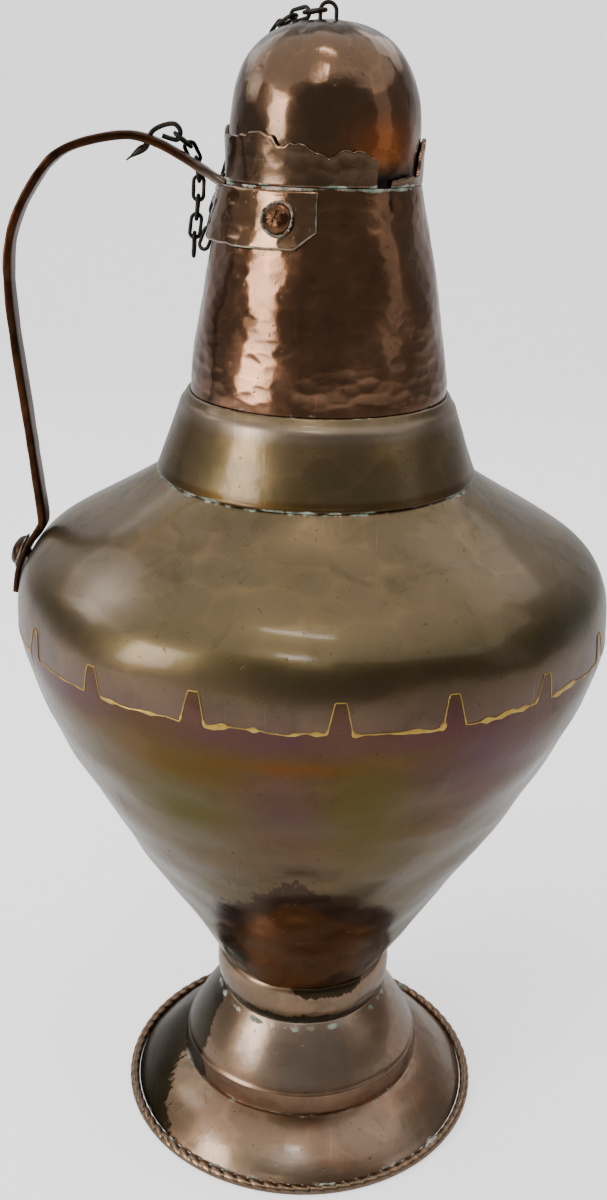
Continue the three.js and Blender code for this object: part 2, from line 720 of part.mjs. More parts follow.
// The strap's width and thickness along its line
function strapSize(share) {
  const taper = Math.min(share / LEAF_FROM, 1);
  const width = STRAP_TOP_WIDTH + (STRAP_LOW_WIDTH - STRAP_TOP_WIDTH) * taper;
  const thickness = STRAP_TOP_THICKNESS + (STRAP_LOW_THICKNESS - STRAP_TOP_THICKNESS) * taper;
  const leaf = THREE.MathUtils.smoothstep(share, LEAF_FROM - LEAF_BLEND, LEAF_FROM + LEAF_BLEND);
  const tip = THREE.MathUtils.smoothstep(share, LEAF_TIP_FROM, LEAF_TIP_TO);
  return {
    width: (width + (LEAF_WIDTH - width) * leaf) * (1 - LEAF_TIP_NARROWING * tip),
    thickness: thickness + (LEAF_THICKNESS - thickness) * leaf,
  };
}

function makeHandleStrap(drills) {
  const steps = 44;
  const sections = [];
  for (let i = 0; i <= steps; i += 1) {
    const share = i / steps;
    const { width, thickness } = strapSize(share);
    const centre = strapLine.getPointAt(share);
    const tangent = strapLine.getTangentAt(share);
    const out = vec3(-tangent.z, 0, tangent.x);
    const round = thickness * STRAP_EDGE_ROUND;
    const outline = [
      [-width / 2, -thickness / 2 + round], [-width / 2 + round, -thickness / 2],
      [width / 2 - round, -thickness / 2], [width / 2, -thickness / 2 + round],
      [width / 2, thickness / 2 - round], [width / 2 - round, thickness / 2],
      [-width / 2 + round, thickness / 2], [-width / 2, thickness / 2 - round],
    ];
    sections.push(outline.map(
      ([side, lift]) => centre.clone().add(vec3(0, side, 0)).addScaledVector(out, lift),
    ));
  }
  const seatTop = saddleTop + SADDLE_HEIGHT;
  const seatFoot = saddleTop - SADDLE_HEIGHT;
  const seatRadius = neckRadius(seatFoot) + saddleFace - neckRadius(saddleTop) + GAP;
  const envelope = revolve([
    vec2(0, seatFoot),
    vec2(seatRadius, seatFoot),
    vec2(saddleFace + GAP, saddleTop),
    vec2(saddleFace + GAP, seatTop),
    vec2(0, seatTop),
  ]);
  return cut(loft(sections), envelope, ...drills);
}

// Rivets: a domed head outside, a shank and a flattened tail inside
function makeRivet(seat, grip) {
  const dome = new THREE.EllipseCurve(0, GAP, RIVET_RADIUS, RIVET_HEAD, 0, Math.PI / 2).getPoints(4);
  const tail = -grip - RIVET_TAIL_ROOM;
  const profile = [
    vec2(0, tail - RIVET_TAIL),
    vec2(RIVET_TAIL_RADIUS - RIVET_TAIL_EDGE, tail - RIVET_TAIL),
    vec2(RIVET_TAIL_RADIUS, tail),
    vec2(RIVET_SHANK, tail),
    vec2(RIVET_SHANK, GAP),
    ...dome,
  ];
  const turn = new THREE.Quaternion().setFromUnitVectors(vec3(0, 0, 1), seat.out);
  return revolve(profile, 10).applyQuaternion(turn).translate(...seat.place.toArray());
}

function rivetDrill(seat, grip) {
  const inner = pointAlong(seat, -grip - RIVET_DRILL_REACH);
  return bar(inner, pointAlong(seat, RIVET_DRILL_REACH), RIVET_SHANK + GAP, 12);
}

const rivetT = parameterAt(neckCurve, saddleTop - SADDLE_RIVET_DROP);
const saddleGrip = (azimuth) => saddleStandoff(azimuth) + SADDLE_THICKNESS;

function saddleRivetSeat(azimuth) {
  const seat = curvePlace(neckCurve, rivetT, azimuth);
  return { ...seat, place: pointAlong(seat, saddleGrip(azimuth)) };
}

function shoulderRivetSeat() {
  const seat = curvePlace(shoulderCurve, leafParameter(LEAF_RIVET_SHARE), 180);
  const lift = GAP + LEAF_THICKNESS + leafLift(LEAF_RIVET_SHARE);
  return { ...seat, place: pointAlong(seat, lift), lift };
}

// The pin that holds the chain: an eye above the strap and a bent point below it
const pinShare = (() => {
  let share = 0;
  while (strapLine.getPointAt(share).x > -PIN_REACH) {
    share += 0.001;
  }
  return share;
})();
const pinCentre = strapLine.getPointAt(pinShare);
const pinAlong = strapLine.getTangentAt(pinShare).negate();
const pinUp = vec3(-pinAlong.z, 0, pinAlong.x);
const pinPoint = (along, up) => (
  pinCentre.clone().addScaledVector(pinAlong, along).addScaledVector(pinUp, up)
);
const pinFoot = STRAP_TOP_THICKNESS / 2 + GAP + PIN_WIRE / 2;

function makeHookPin() {
  const loop = PIN_LOOP.map(([along, up]) => pinPoint(along, pinFoot + up));
  const eye = new THREE.CatmullRomCurve3([
    pinPoint(0, -PIN_SHANK),
    pinPoint(0, PIN_SHANK / 2),
    ...loop,
  ], false, 'centripetal');
  const bentWire = wire(eye, PIN_WIRE / 2, 22, 6);
  const root = pinPoint(SPIKE_ROOT_SHIFT, SPIKE_ROOT_LAP - PIN_SHANK);
  const spike = bar(root, pinPoint(-SPIKE_REACH, -SPIKE_DROP), SPIKE_RADIUS, 8, SPIKE_TIP_RADIUS);
  return join(bentWire, spike);
}

function pinDrill() {
  return bar(pinPoint(0, -PIN_SHANK * 2), pinPoint(0, PIN_SHANK), PIN_WIRE / 2 + GAP * 2, 12);
}

// Chain links: a ring of wire drawn out into two straight sides
function makeLinkShape() {
  const bend = (LINK_WIDTH - LINK_WIRE) / 2;
  const ring = new THREE.TorusGeometry(bend, LINK_WIRE / 2, 4, 10);
  const stretch = (LINK_LENGTH - LINK_WIDTH) / 2;
  const position = ring.getAttribute('position');
  for (let i = 0; i < position.count; i += 1) {
    const x = position.getX(i);
    position.setX(i, x + Math.sign(x) * stretch);
  }
  return closedBody(ring);
}

const linkPitch = LINK_LENGTH - LINK_WIRE * 2 - LINK_PLAY;

// Joint points along a route, each one pitch from the last
function jointsAlong(points, count) {
  const route = new THREE.CatmullRomCurve3(points, false, 'centripetal');
  const joints = [route.getPoint(0)];
  let t = 0;
  while (joints.length <= count && t < 1) {
    t += 0.0005;
    const point = route.getPoint(t);
    if (point.distanceTo(joints[joints.length - 1]) >= linkPitch) {
      joints.push(point);
    }
  }
  return joints;
}

// The first joint of a chain whose end link hangs round a bar and leads towards a point
function hungFrom(barCentre, towards) {
  const along = towards.clone().sub(barCentre).normalize();
  return barCentre.clone().addScaledVector(along, -(LINK_WIRE + LINK_PLAY) / 2);
}

const linkShape = makeLinkShape();

// Links between joints, every second one turned a quarter about the chain
function makeChainRun(name, joints, outAt, firstFlat, materialOf) {
  const run = [];
  for (let i = 0; i + 1 < joints.length; i += 1) {
    const along = joints[i + 1].clone().sub(joints[i]).normalize();
    const middle = joints[i].clone().lerp(joints[i + 1], 0.5);
    const out = outAt(middle, i);
    const side = along.clone().cross(out).normalize();
    const face = side.clone().cross(along).normalize();
    const flat = (i % 2 === 0) === firstFlat;
    const across = flat ? side : face;
    const normal = along.clone().cross(across);
    const link = new THREE.Mesh(linkShape.clone(), materialOf);
    link.name = `${name}_${String(i + 1).padStart(2, '0')}`;
    link.applyMatrix4(new THREE.Matrix4().makeBasis(along, across, normal).setPosition(middle));
    run.push(link);
  }
  return run;
}

// How much more a link on the dome faces upwards than the way to it does
const DOME_TILT = 1.2;

const atAzimuth = (radius, height, azimuth) => (
  vec3(radius * Math.cos(radians(azimuth)), radius * Math.sin(radians(azimuth)), height)
);
const linkHalf = LINK_WIDTH / 2 + GAP * 2;

// The run that hangs from the lid: over the dome, down past the collar and the saddle
function lidRunJoints() {
  const stapleLeg = vec3(-STAPLE_SPAN / 2, 0, Z_CROWN + STAPLE_RISE * 0.5);
  const over = DOME_WAY.map(([share, azimuth]) => {
    const point = offsetPoint(domeCurve, share, linkHalf);
    return atAzimuth(point.x, point.y, azimuth);
  });
  const beside = ([out, rise, azimuth]) => {
    const height = Z_MOUTH + rise;
    const wall = Math.max(COLLAR_RADIUS, neckRadius(height) + saddleGrip(azimuth));
    return atAzimuth(wall + linkHalf + out, height, azimuth);
  };
  return jointsAlong([
    hungFrom(stapleLeg, over[0]),
    ...over,
    ...LID_HANG.map(beside),
  ], LID_LINKS);
}

// The run that hangs from the pin: along the strap, over its far edge and down
function pinRunJoints() {
  const eye = pinPoint(PIN_EYE_LENGTH, pinFoot + PIN_EYE_RISE);
  const hang = PIN_HANG.map(
    ([out, side, rise]) => vec3(-saddleFace - out, CHAIN_SIDE + side, Z_MOUTH + rise),
  );
  return jointsAlong([hungFrom(eye, hang[0]), ...hang], PIN_LINKS);
}

// Finishes
const finish = (color, roughness, metalness) => (
  new THREE.MeshStandardMaterial({ color, roughness, metalness })
);
const FINISHES = {
  belly: finish(0x6b5a45, 0.3, 0.9),
  neck: finish(0x5a3a30, 0.28, 0.9),
  foot: finish(0x6a5846, 0.32, 0.9),
  handle: finish(0x3a2212, 0.4, 0.8),
  rivet: finish(0x3e2a20, 0.35, 0.8),
  iron: finish(0x1c1b16, 0.6, 0.7),
};

function named(name, geometry, material) {
  const mesh = new THREE.Mesh(geometry, material);
  mesh.name = name;
  return mesh;
}

const frontRivet = saddleRivetSeat(180 + SADDLE_RIVET_ANGLE);
const backRivet = saddleRivetSeat(180 - SADDLE_RIVET_ANGLE);
const shoulderRivet = shoulderRivetSeat();
const saddleRivetGrip = saddleGrip(180 - SADDLE_RIVET_ANGLE) + SHEET;
const shoulderRivetGrip = shoulderRivet.lift + SHEET;
const saddleDrills = [frontRivet, backRivet].map((seat) => rivetDrill(seat, saddleRivetGrip));
const shoulderDrill = rivetDrill(shoulderRivet, shoulderRivetGrip);
const belly = partBelly([shoulderDrill]);

const jug = new THREE.Group();
jug.add(
  named('foot_rim_bead', makeFootBead(), FINISHES.foot),
  named('foot_dish', makeFootDish(), FINISHES.foot),
  named('foot_cone', makeFootCone(), FINISHES.foot),
  named('waist_collar', makeWaistCollar(), FINISHES.foot),
  named('lower_bowl', belly.lower, FINISHES.belly),
  named('shoulder', belly.upper, FINISHES.belly),
  named('neck_band', makeNeckBand(), FINISHES.belly),
  named('neck_cone', makeNeckCone(saddleDrills), FINISHES.neck),
  named('mouth_collar', makeMouthCollar(), FINISHES.neck),
  named('neck_saddle', makeNeckSaddle(saddleDrills), FINISHES.neck),
  named('handle_strap', makeHandleStrap([shoulderDrill, pinDrill()]), FINISHES.handle),
  named('saddle_rivet_front', makeRivet(frontRivet, saddleRivetGrip), FINISHES.rivet),
  named('saddle_rivet_back', makeRivet(backRivet, saddleRivetGrip), FINISHES.rivet),
  named('shoulder_rivet', makeRivet(shoulderRivet, shoulderRivetGrip), FINISHES.rivet),
  named('hook_pin', makeHookPin(), FINISHES.iron),
);

const lid = new THREE.Group();
lid.add(
  named('lid_dome', makeLidDome(stapleDrills()), FINISHES.neck),
  named('lid_sleeve', makeLidSleeve(), FINISHES.neck),
  named('lid_staple', makeLidStaple(), FINISHES.iron),
);
jug.add(lid);

const sideways = () => vec3(0, 1, 0);
const awayFromAxis = (point) => (
  vec3(point.x, point.y, Math.max(0, point.z - Z_DOME) * DOME_TILT).normalize()
);
jug.add(...makeChainRun('lid_link', lidRunJoints(), awayFromAxis, true, FINISHES.iron));
jug.add(...makeChainRun('pin_link', pinRunJoints(), sideways, false, FINISHES.iron));

export default jug;
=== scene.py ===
"""A tall hammered copper water jug with a chained lid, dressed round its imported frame.

Every new surface is worked out with numpy in millimetres and written to the mesh in metres.
"""

from __future__ import annotations

import logging
import math
from dataclasses import dataclass, field
from enum import Enum
from typing import NamedTuple

import bmesh
import bpy
import numpy as np
from mathutils import Matrix, Vector

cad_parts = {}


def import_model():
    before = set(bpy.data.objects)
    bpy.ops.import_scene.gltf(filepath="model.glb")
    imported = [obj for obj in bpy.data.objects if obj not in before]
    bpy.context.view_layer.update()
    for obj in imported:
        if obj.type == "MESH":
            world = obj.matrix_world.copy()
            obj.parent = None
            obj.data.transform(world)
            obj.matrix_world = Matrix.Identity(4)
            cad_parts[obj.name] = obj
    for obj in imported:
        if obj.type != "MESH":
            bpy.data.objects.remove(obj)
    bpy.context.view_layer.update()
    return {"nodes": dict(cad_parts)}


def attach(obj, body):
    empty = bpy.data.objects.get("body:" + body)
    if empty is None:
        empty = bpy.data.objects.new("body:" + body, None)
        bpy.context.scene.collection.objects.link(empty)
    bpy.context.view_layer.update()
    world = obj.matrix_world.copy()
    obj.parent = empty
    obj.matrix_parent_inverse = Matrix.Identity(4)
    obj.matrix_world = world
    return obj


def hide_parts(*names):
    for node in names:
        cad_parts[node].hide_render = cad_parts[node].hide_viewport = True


LOG = logging.getLogger("copper_jug")
MM = 0.001
TURN = 2.0 * math.pi

Array = np.ndarray
Point = tuple[float, float]
Marks = dict[str, Array]
Color = tuple[float, float, float]
Piece = bpy.types.Object
Material = bpy.types.Material
Tree = bpy.types.NodeTree
Socket = bpy.types.NodeSocket
Inputs = dict[str | int, object]


class Slot(Enum):
    """The record's material slots."""

    FOOT = "copper_foot"
    BELLY = "copper_belly"
    NECK = "copper_neck"
    HANDLE = "copper_handle"
    RIVET = "copper_rivet"
    IRON = "iron"


class Body(Enum):
    """The bodies that pieces ride on, apart from the chain's links."""

    JUG = "jug"
    LID = "lid"


# Curves and noise, as whole arrays


def bezier(corners: list[Point | Array], count: int = 200) -> Array:
    """Sample a cubic Bezier curve of (radius, height).

    Formula: the Bernstein sum of the four corners, at evenly spaced parameters.

    Args:
        corners: the curve's four control points.
        count: how many samples.

    Returns:
        An array of shape (count, 2).
    """
    t = np.linspace(0.0, 1.0, count)[:, None]
    p0, p1, p2, p3 = (np.array(corner, float)[None] for corner in corners)
    return (1 - t) ** 3 * p0 + 3 * (1 - t) ** 2 * t * p1 + 3 * (1 - t) * t**2 * p2 + t**3 * p3


def bend(low: Point, middle: Point, high: Point, count: int = 80) -> Array:
    """Sample a quadratic Bezier curve of (radius, height).

    Args:
        low: the start.
        middle: the control point.
        high: the end.
        count: how many samples.

    Returns:
        An array of shape (count, 2).
    """
    t = np.linspace(0.0, 1.0, count)[:, None]
    return (1 - t) ** 2 * np.array(low) + 2 * t * (1 - t) * np.array(middle) + t**2 * np.array(high)


@dataclass(frozen=True)
class Patch:
    """A soft spot on the jug's skin: a bump of the azimuth times a bump up the skin."""

    angle: float
    spread: float
    level: float
    reach: float

    def at(self, azimuth: Array, level: Array) -> Array:
        """How strongly the spot shows.

        Args:
            azimuth: angles in radians.
            level: heights or arc lengths in millimetres.

        Returns:
            Values from zero to one, of the inputs' shape.
        """
        return beside(azimuth, self.angle, self.spread) * near(level, self.level, self.reach)


def arc_lengths(points: Array) -> Array:
    """Distances along a polyline from its start, one for each point."""
    return np.concatenate([[0.0], np.cumsum(np.linalg.norm(np.diff(points, axis=0), axis=1))])


def even(points: Array, count: int) -> Array:
    """Resample a polyline at equal arc lengths.

    Args:
        points: the polyline, shape (n, d).
        count: how many samples.

    Returns:
        An array of shape (count, d).
    """
    arc = arc_lengths(points)
    want = np.linspace(0.0, arc[-1], count)
    return np.stack([np.interp(want, arc, points[:, k]) for k in range(points.shape[1])], axis=1)


def smooth_path(points: Array | list[tuple[float, ...]], count: int) -> Array:
    """Carry a smooth curve through a few points.

    Formula: Catmull-Rom segments between neighbours, then resampled at equal arc lengths.

    Args:
        points: the points, in order.
        count: how many samples.

    Returns:
        An array of shape (count, d).
    """
    p = np.array(points, float)
    p = np.vstack([2 * p[0] - p[1], p, 2 * p[-1] - p[-2]])
    t = np.linspace(0.0, 1.0, 24, endpoint=False)[:, None]
    runs = []
    for a, b, c, d in zip(p, p[1:], p[2:], p[3:]):
        bend_two = (2 * a - 5 * b + 4 * c - d) * t**2
        bend_three = (3 * b - a - 3 * c + d) * t**3
        runs.append(0.5 * (2 * b + (c - a) * t + bend_two + bend_three))
    runs.append(p[-2][None])
    return even(np.vstack(runs), count)


def unit(vectors: Array) -> Array:
    """Vectors made one long."""
    return vectors / np.maximum(np.linalg.norm(vectors, axis=-1, keepdims=True), 1e-9)


def near(value: Array, centre: float, width: float) -> Array:
    """A soft bump that is one at the centre and nearly zero two widths away."""
    return np.exp(-(((value - centre) / width) ** 2))


def ramp(value: Array, start: Array | float, end: Array | float) -> Array:
    """A straight run from zero at the start to one at the end, which may lie on either side of it."""
    return np.clip((value - start) / (end - start), 0.0, 1.0)


def smooth(share: Array) -> Array:
    """A share from zero to one, eased at both ends."""
    return share * share * (3 - 2 * share)


def turn_gap(azimuth: Array, centre: float) -> Array:
    """The signed angle from a centre in degrees to azimuths in radians, in degrees."""
    return (np.degrees(azimuth) - centre + 180.0) % 360.0 - 180.0


def beside(azimuth: Array, centre: float, width: float) -> Array:
    """A soft bump round an azimuth, with its centre and its width in degrees."""
    return near(turn_gap(azimuth, centre), 0.0, width)


def swell(azimuth: Array, height: Array, seed: int, amount: float) -> Array:
    """Slow unevenness of hand-raised metal.

    Formula: a sum of a few sines of whole turns and of heights, with seeded phases.

    Args:
        azimuth: angles in radians.
        height: heights in millimetres.
        seed: the seed of the phases.
        amount: the size of the sum, in millimetres.

    Returns:
        An array of the inputs' shape, in millimetres.
    """
    rng = np.random.default_rng(seed)
    waves = 7
    total = np.zeros(np.broadcast(azimuth, height).shape)
    for _ in range(waves):
        turns = rng.integers(2, 11)
        length = rng.uniform(30.0, 110.0)
        first, second = rng.uniform(0.0, TURN, 2)
        total = total + np.sin(azimuth * turns + first) * np.sin(height / length * TURN + second)
    return total * amount / math.sqrt(waves)


def speckle(azimuth: Array, height: Array, seed: int, size: float, radius: float) -> Array:
    """Seeded value noise on the jug's skin, from zero to one.

    Formula: random numbers on a lattice of the given size, blended smoothly between corners.

    Args:
        azimuth: angles in radians.
        height: heights or arc lengths in millimetres.
        seed: the seed of the lattice.
        size: the lattice's spacing in millimetres.
        radius: the radius where the spacing is true, in millimetres.

    Returns:
        An array of the inputs' shape.
    """
    around = max(5, int(round(TURN * radius / size)))
    low = float(np.min(height))
    rows = int((float(np.max(height)) - low) / size) + 3
    grid = np.random.default_rng(seed).uniform(0.0, 1.0, (rows, around))
    u, v = np.broadcast_arrays(np.mod(azimuth, TURN) / TURN * around, (height - low) / size)
    iu = np.floor(u).astype(int)
    iv = np.floor(v).astype(int)
    fu = smooth(u - iu)
    fv = smooth(v - iv)
    lower = grid[iv, iu % around] * (1 - fu) + grid[iv, (iu + 1) % around] * fu
    upper = grid[iv + 1, iu % around] * (1 - fu) + grid[iv + 1, (iu + 1) % around] * fu
    return lower * (1 - fv) + upper * fv


def ripple(azimuth: Array, seed: int, size: float, radius: float) -> Array:
    """Seeded value noise round a ring, from zero to one, with the sizes of speckle."""
    return speckle(azimuth, azimuth * 0.0, seed, size, radius)


def hammer(azimuth: Array, arc: Array, radius: float, pitch: Point, depth: float, seed: int) -> Array:
    """Overlapping planishing marks.

    Formula: each mark is a shallow paraboloid round a jittered lattice point, and a point of the
    surface takes the depth of the nearest mark, so ridges stay between marks.

    Args:
        azimuth: angles in radians.
        arc: distances along the profile, in millimetres.
        radius: the radius where the marks have their true size, in millimetres.
        pitch: the spacing of the marks round the jug and up it, in millimetres.
        depth: the depth of a mark, in millimetres.
        seed: the seed of the jitter.

    Returns:
        Displacements in millimetres, zero or negative, of the inputs' shape.
    """
    around = max(6, int(round(TURN * radius / pitch[0])))
    rows = int(np.max(arc) / pitch[1]) + 4
    rng = np.random.default_rng(seed)
    jitter = rng.uniform(-0.38, 0.38, (rows, around, 2))
    strength = rng.uniform(0.25, 1.0, (rows, around))
    u, v = np.broadcast_arrays(np.mod(azimuth, TURN) / TURN * around, arc / pitch[1] + 1.0)
    iu = np.floor(u).astype(int)
    iv = np.floor(v).astype(int)
    best = np.full(u.shape, 9.0)
    deep = np.zeros(u.shape)
    for du in (-1, 0, 1):
        for dv in (-1, 0, 1):
            cu = np.mod(iu + du, around)
            cv = np.clip(iv + dv, 0, rows - 1)
            x = iu + du + 0.5 + jitter[cv, cu, 0] - u
            y = iv + dv + 0.5 + jitter[cv, cu, 1] - v
            distance = x**2 + y**2
            closer = distance < best
            best = np.where(closer, distance, best)
            deep = np.where(closer, strength[cv, cu], deep)
    return -depth * deep * np.clip(1.0 - best / 0.62, 0.0, 1.0)


# Meshes: distances in metres, and the sharp edges' angle in degrees

MERGE = 2e-6
SLIVER = 1e-7
SHARP = 52.0
SIDEWAYS = np.array([0.0, 1.0, 0.0])


def repeat(marks: Marks, columns: int) -> Marks:
    """Marks along a path, carried round a section of some columns."""
    return {key: np.repeat(np.asarray(line, float)[:, None], columns, axis=1) for key, line in marks.items()}


def grid_faces(rows: int, columns: int, wrap_rows: bool, wrap_columns: bool) -> Array:
    """Quads between neighbours of a grid of points.

    Args:
        rows: the number of rows.
        columns: the number of columns.
        wrap_rows: whether the last row joins the first.
        wrap_columns: whether the last column joins the first.

    Returns:
        An array of shape (faces, 4) of point numbers.
    """
    row = np.arange(rows if wrap_rows else rows - 1)
    column = np.arange(columns if wrap_columns else columns - 1)
    r, c = np.meshgrid(row, column, indexing="ij")
    r2 = (r + 1) % rows
    c2 = (c + 1) % columns
    quads = [r * columns + c, r * columns + c2, r2 * columns + c2, r2 * columns + c]
    return np.stack(quads, axis=-1).reshape(-1, 4)


def make_piece(name: str, grid: Array, wrap: tuple[bool, bool], marks: Marks) -> Piece:
    """Write a closed surface into a new object at the origin.

    Args:
        name: the object's name.
        grid: the vertices in millimetres, shape (rows, columns, 3).
        wrap: whether the rows and the columns close on themselves.
        marks: values on the vertices for the materials to read, by attribute name.

    Returns:
        The object, smooth shaded, with doubles merged and faces pointing outwards.
    """
    mesh = bpy.data.meshes.new(name)
    faces = grid_faces(grid.shape[0], grid.shape[1], *wrap)
    mesh.from_pydata((grid.reshape(-1, 3) * MM).tolist(), [], faces.tolist())
    for key, values in marks.items():
        layer = mesh.attributes.new(key, "FLOAT", "POINT")
        layer.data.foreach_set("value", np.ascontiguousarray(values, dtype=np.float32).ravel())
    shape = bmesh.new()
    shape.from_mesh(mesh)
    bmesh.ops.remove_doubles(shape, verts=shape.verts, dist=MERGE)
    bmesh.ops.dissolve_degenerate(shape, edges=shape.edges, dist=SLIVER)
    bmesh.ops.recalc_face_normals(shape, faces=shape.faces)
    shape.to_mesh(mesh)
    shape.free()
    mesh.shade_smooth()
    mesh.set_sharp_from_angle(angle=math.radians(SHARP))
    piece = bpy.data.objects.new(name, mesh)
    bpy.context.scene.collection.objects.link(piece)
    return piece


def sweep(
    name: str,
    path: Array,
    ups: Array,
    sizes: Array,
    sides: int = 12,
    square: float = 2.0,
    ring: bool = False,
    marks: Marks | None = None,
) -> Piece:
    """Carry a section along a path.

    Formula: at each path point the section is a superellipse, |x/w|^n + |y/h|^n = 1, in the plane of
    the up vector and the side vector (the path's tangent crossed with up). Open ends shrink to a point.

    Args:
        name: the object's name.
        path: the centre line, shape (n, 3).
        ups: the section's up vectors, shape (n, 3), or one for the whole path.
        sizes: half width and half height at each point, shape (n, 2).
        sides: the number of points round a section.
        square: the superellipse's power, two for an ellipse.
        ring: whether the path closes on itself.
        marks: a value for each path point, by attribute name.

    Returns:
        The object.
    """
    if ring:
        tangent = unit(np.roll(path, -1, axis=0) - np.roll(path, 1, axis=0))
    else:
        tangent = unit(np.gradient(path, axis=0))
    side = unit(np.cross(tangent, ups))
    up = unit(np.cross(side, tangent))
    turn = np.linspace(0.0, TURN, sides, endpoint=False) + TURN / sides / 2
    wide = np.sign(np.cos(turn)) * np.abs(np.cos(turn)) ** (2.0 / square)
    tall = np.sign(np.sin(turn)) * np.abs(np.sin(turn)) ** (2.0 / square)
    offset_side = side[:, None, :] * (wide[None, :] * sizes[:, :1])[..., None]
    offset_up = up[:, None, :] * (tall[None, :] * sizes[:, 1:])[..., None]
    grid = path[:, None, :] + offset_side + offset_up
    values = repeat(marks or {}, sides)
    if not ring:
        first = np.repeat(path[:1, None, :], sides, axis=1)
        last = np.repeat(path[-1:, None, :], sides, axis=1)
        grid = np.concatenate([first, grid, last], axis=0)
        values = {key: np.concatenate([value[:1], value, value[-1:]]) for key, value in values.items()}
    return make_piece(name, grid, (ring, True), values)


def turned(
    name: str, profile: Array, seat: Array, out: Array, columns: int, seed: int, marks: Marks,
) -> Piece:
    """Turn a profile about any axis, as for a rivet.

    Args:
        name: the object's name.
        profile: (radius, height) points, from the far end of the axis to the head's crown.
        seat: the axis's zero point.
        out: the axis's direction.
        columns: the number of points round the axis.
        seed: the seed of the slight dents on the head.
        marks: a value for each profile point, by attribute name.

    Returns:
        The object.
    """
    helper = np.array([0.0, 0.0, 1.0]) if abs(out[2]) < 0.9 else np.array([1.0, 0.0, 0.0])
    side = unit(np.cross(helper, out))
    other = np.cross(out, side)
    around = np.linspace(0.0, TURN, columns, endpoint=False)[None, :]
    radius = profile[:, 0][:, None]
    height = profile[:, 1][:, None]
    dents = speckle(around, height, seed=seed, size=2.6, radius=5.0) - 0.5
    height = height + dents * 0.5 * np.clip(height / 1.5, 0.0, 1.0)
    ring = side * np.cos(around)[..., None] + other * np.sin(around)[..., None]
    radius = radius * (1.0 + 0.04 * np.sin(around * 3 + seed))
    grid = seat + ring * radius[..., None] + out * height[..., None]
    return make_piece(name, grid, (False, True), repeat(marks, columns))


def place(piece: Piece, body: str, nodes: list[str], material: Material) -> None:
    """Put a finished piece on its body, in place of its nodes and material.

    Args:
        piece: the new object.
        body: the body's name.
        nodes: the nodes that it stands for, or none.
        material: the material.
    """
    piece.data.materials.clear()
    piece.data.materials.append(material)
    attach(piece, body)
    if nodes:
        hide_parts(*nodes)
    LOG.info("built %s: %d faces", piece.name, len(piece.data.polygons))


@dataclass
class Skin:
    """A surface of revolution with hand-made unevenness, that gives any of its points.

    The outline runs up the outer side as (radius, height) points.
    """

    outline: Array
    seed: int = 1
    pitch: Point = (12.0, 12.0)
    depth: float = 0.0
    swell: float = 0.0
    fade: Point = (6.0, 6.0)

    def __post_init__(self) -> None:
        """Resample the outline and work out its arc lengths and outward normals."""
        self.outline = even(np.asarray(self.outline, float), 700)
        self.arcs = arc_lengths(self.outline)
        tangent = unit(np.gradient(self.outline, axis=0))
        self.normals = np.stack([tangent[:, 1], -tangent[:, 0]], axis=1)
        self.widest = float(np.max(self.outline[:, 0]))

    @property
    def length(self) -> float:
        """The outline's whole length."""
        return float(self.arcs[-1])

    def arc_of(self, height: Array | float) -> Array:
        """The arc lengths where the outline last passes given heights."""
        rising = np.maximum.accumulate(self.outline[:, 1]) + np.arange(len(self.arcs)) * 1e-9
        return np.interp(height, rising, self.arcs)

    def height_of(self, arc: Array) -> Array:
        """The outline's heights at given arc lengths."""
        return np.interp(arc, self.arcs, self.outline[:, 1])

    def at(
        self, azimuth: Array, arc: Array, lift: Array | float = 0.0, rough: bool = True,
    ) -> tuple[Array, Array]:
        """Points of the surface.

        Formula: the outline's point at the arc length, moved along the outline's normal by the lift, a
        slow swell and the hammer marks, then turned to the azimuth.

        Args:
            azimuth: angles in radians.
            arc: arc lengths in millimetres.
            lift: extra distances along the normal.
            rough: whether swell and hammer marks are added.

        Returns:
            The points, with one more axis of three, and how high each stands on a hammer ridge.
        """
        azimuth, arc = np.broadcast_arrays(azimuth, arc)
        radius = np.interp(arc, self.arcs, self.outline[:, 0])
        height = self.height_of(arc)
        out_r = np.interp(arc, self.arcs, self.normals[:, 0])
        out_z = np.interp(arc, self.arcs, self.normals[:, 1])
        ridge = np.zeros(arc.shape)
        move = np.zeros(arc.shape) + lift
        if rough:
            low, high = self.fade
            soft = np.ones(arc.shape)
            if low:
                soft = soft * np.clip(arc / low, 0.0, 1.0)
            if high:
                soft = soft * np.clip((self.length - arc) / high, 0.0, 1.0)
            if self.depth:
                marks = hammer(azimuth, arc, self.widest * 0.8, self.pitch, self.depth, self.seed)
                ridge = 1.0 + marks / self.depth
                move = move + marks * soft
            move = move + swell(azimuth, height, self.seed + 7, self.swell) * soft
        radius = np.maximum(radius + move * out_r, 0.0)
        height = height + move * out_z
        return np.stack([radius * np.cos(azimuth), radius * np.sin(azimuth), height], axis=-1), ridge

    def normal(self, azimuth: Array, arc: Array) -> Array:
        """Outward unit vectors of the smooth surface.

        Args:
            azimuth: angles in radians.
            arc: arc lengths in millimetres.

        Returns:
            The vectors, with one more axis of three.
        """
        azimuth, arc = np.broadcast_arrays(azimuth, arc)
        out_r = np.interp(arc, self.arcs, self.normals[:, 0])
        out_z = np.interp(arc, self.arcs, self.normals[:, 1])
        return unit(np.stack([out_r * np.cos(azimuth), out_r * np.sin(azimuth), out_z], axis=-1))


class Crust(NamedTuple):
    """A band of verdigris: its height, how far it spreads, and how much there is."""

    height: float
    width: float
    amount: float


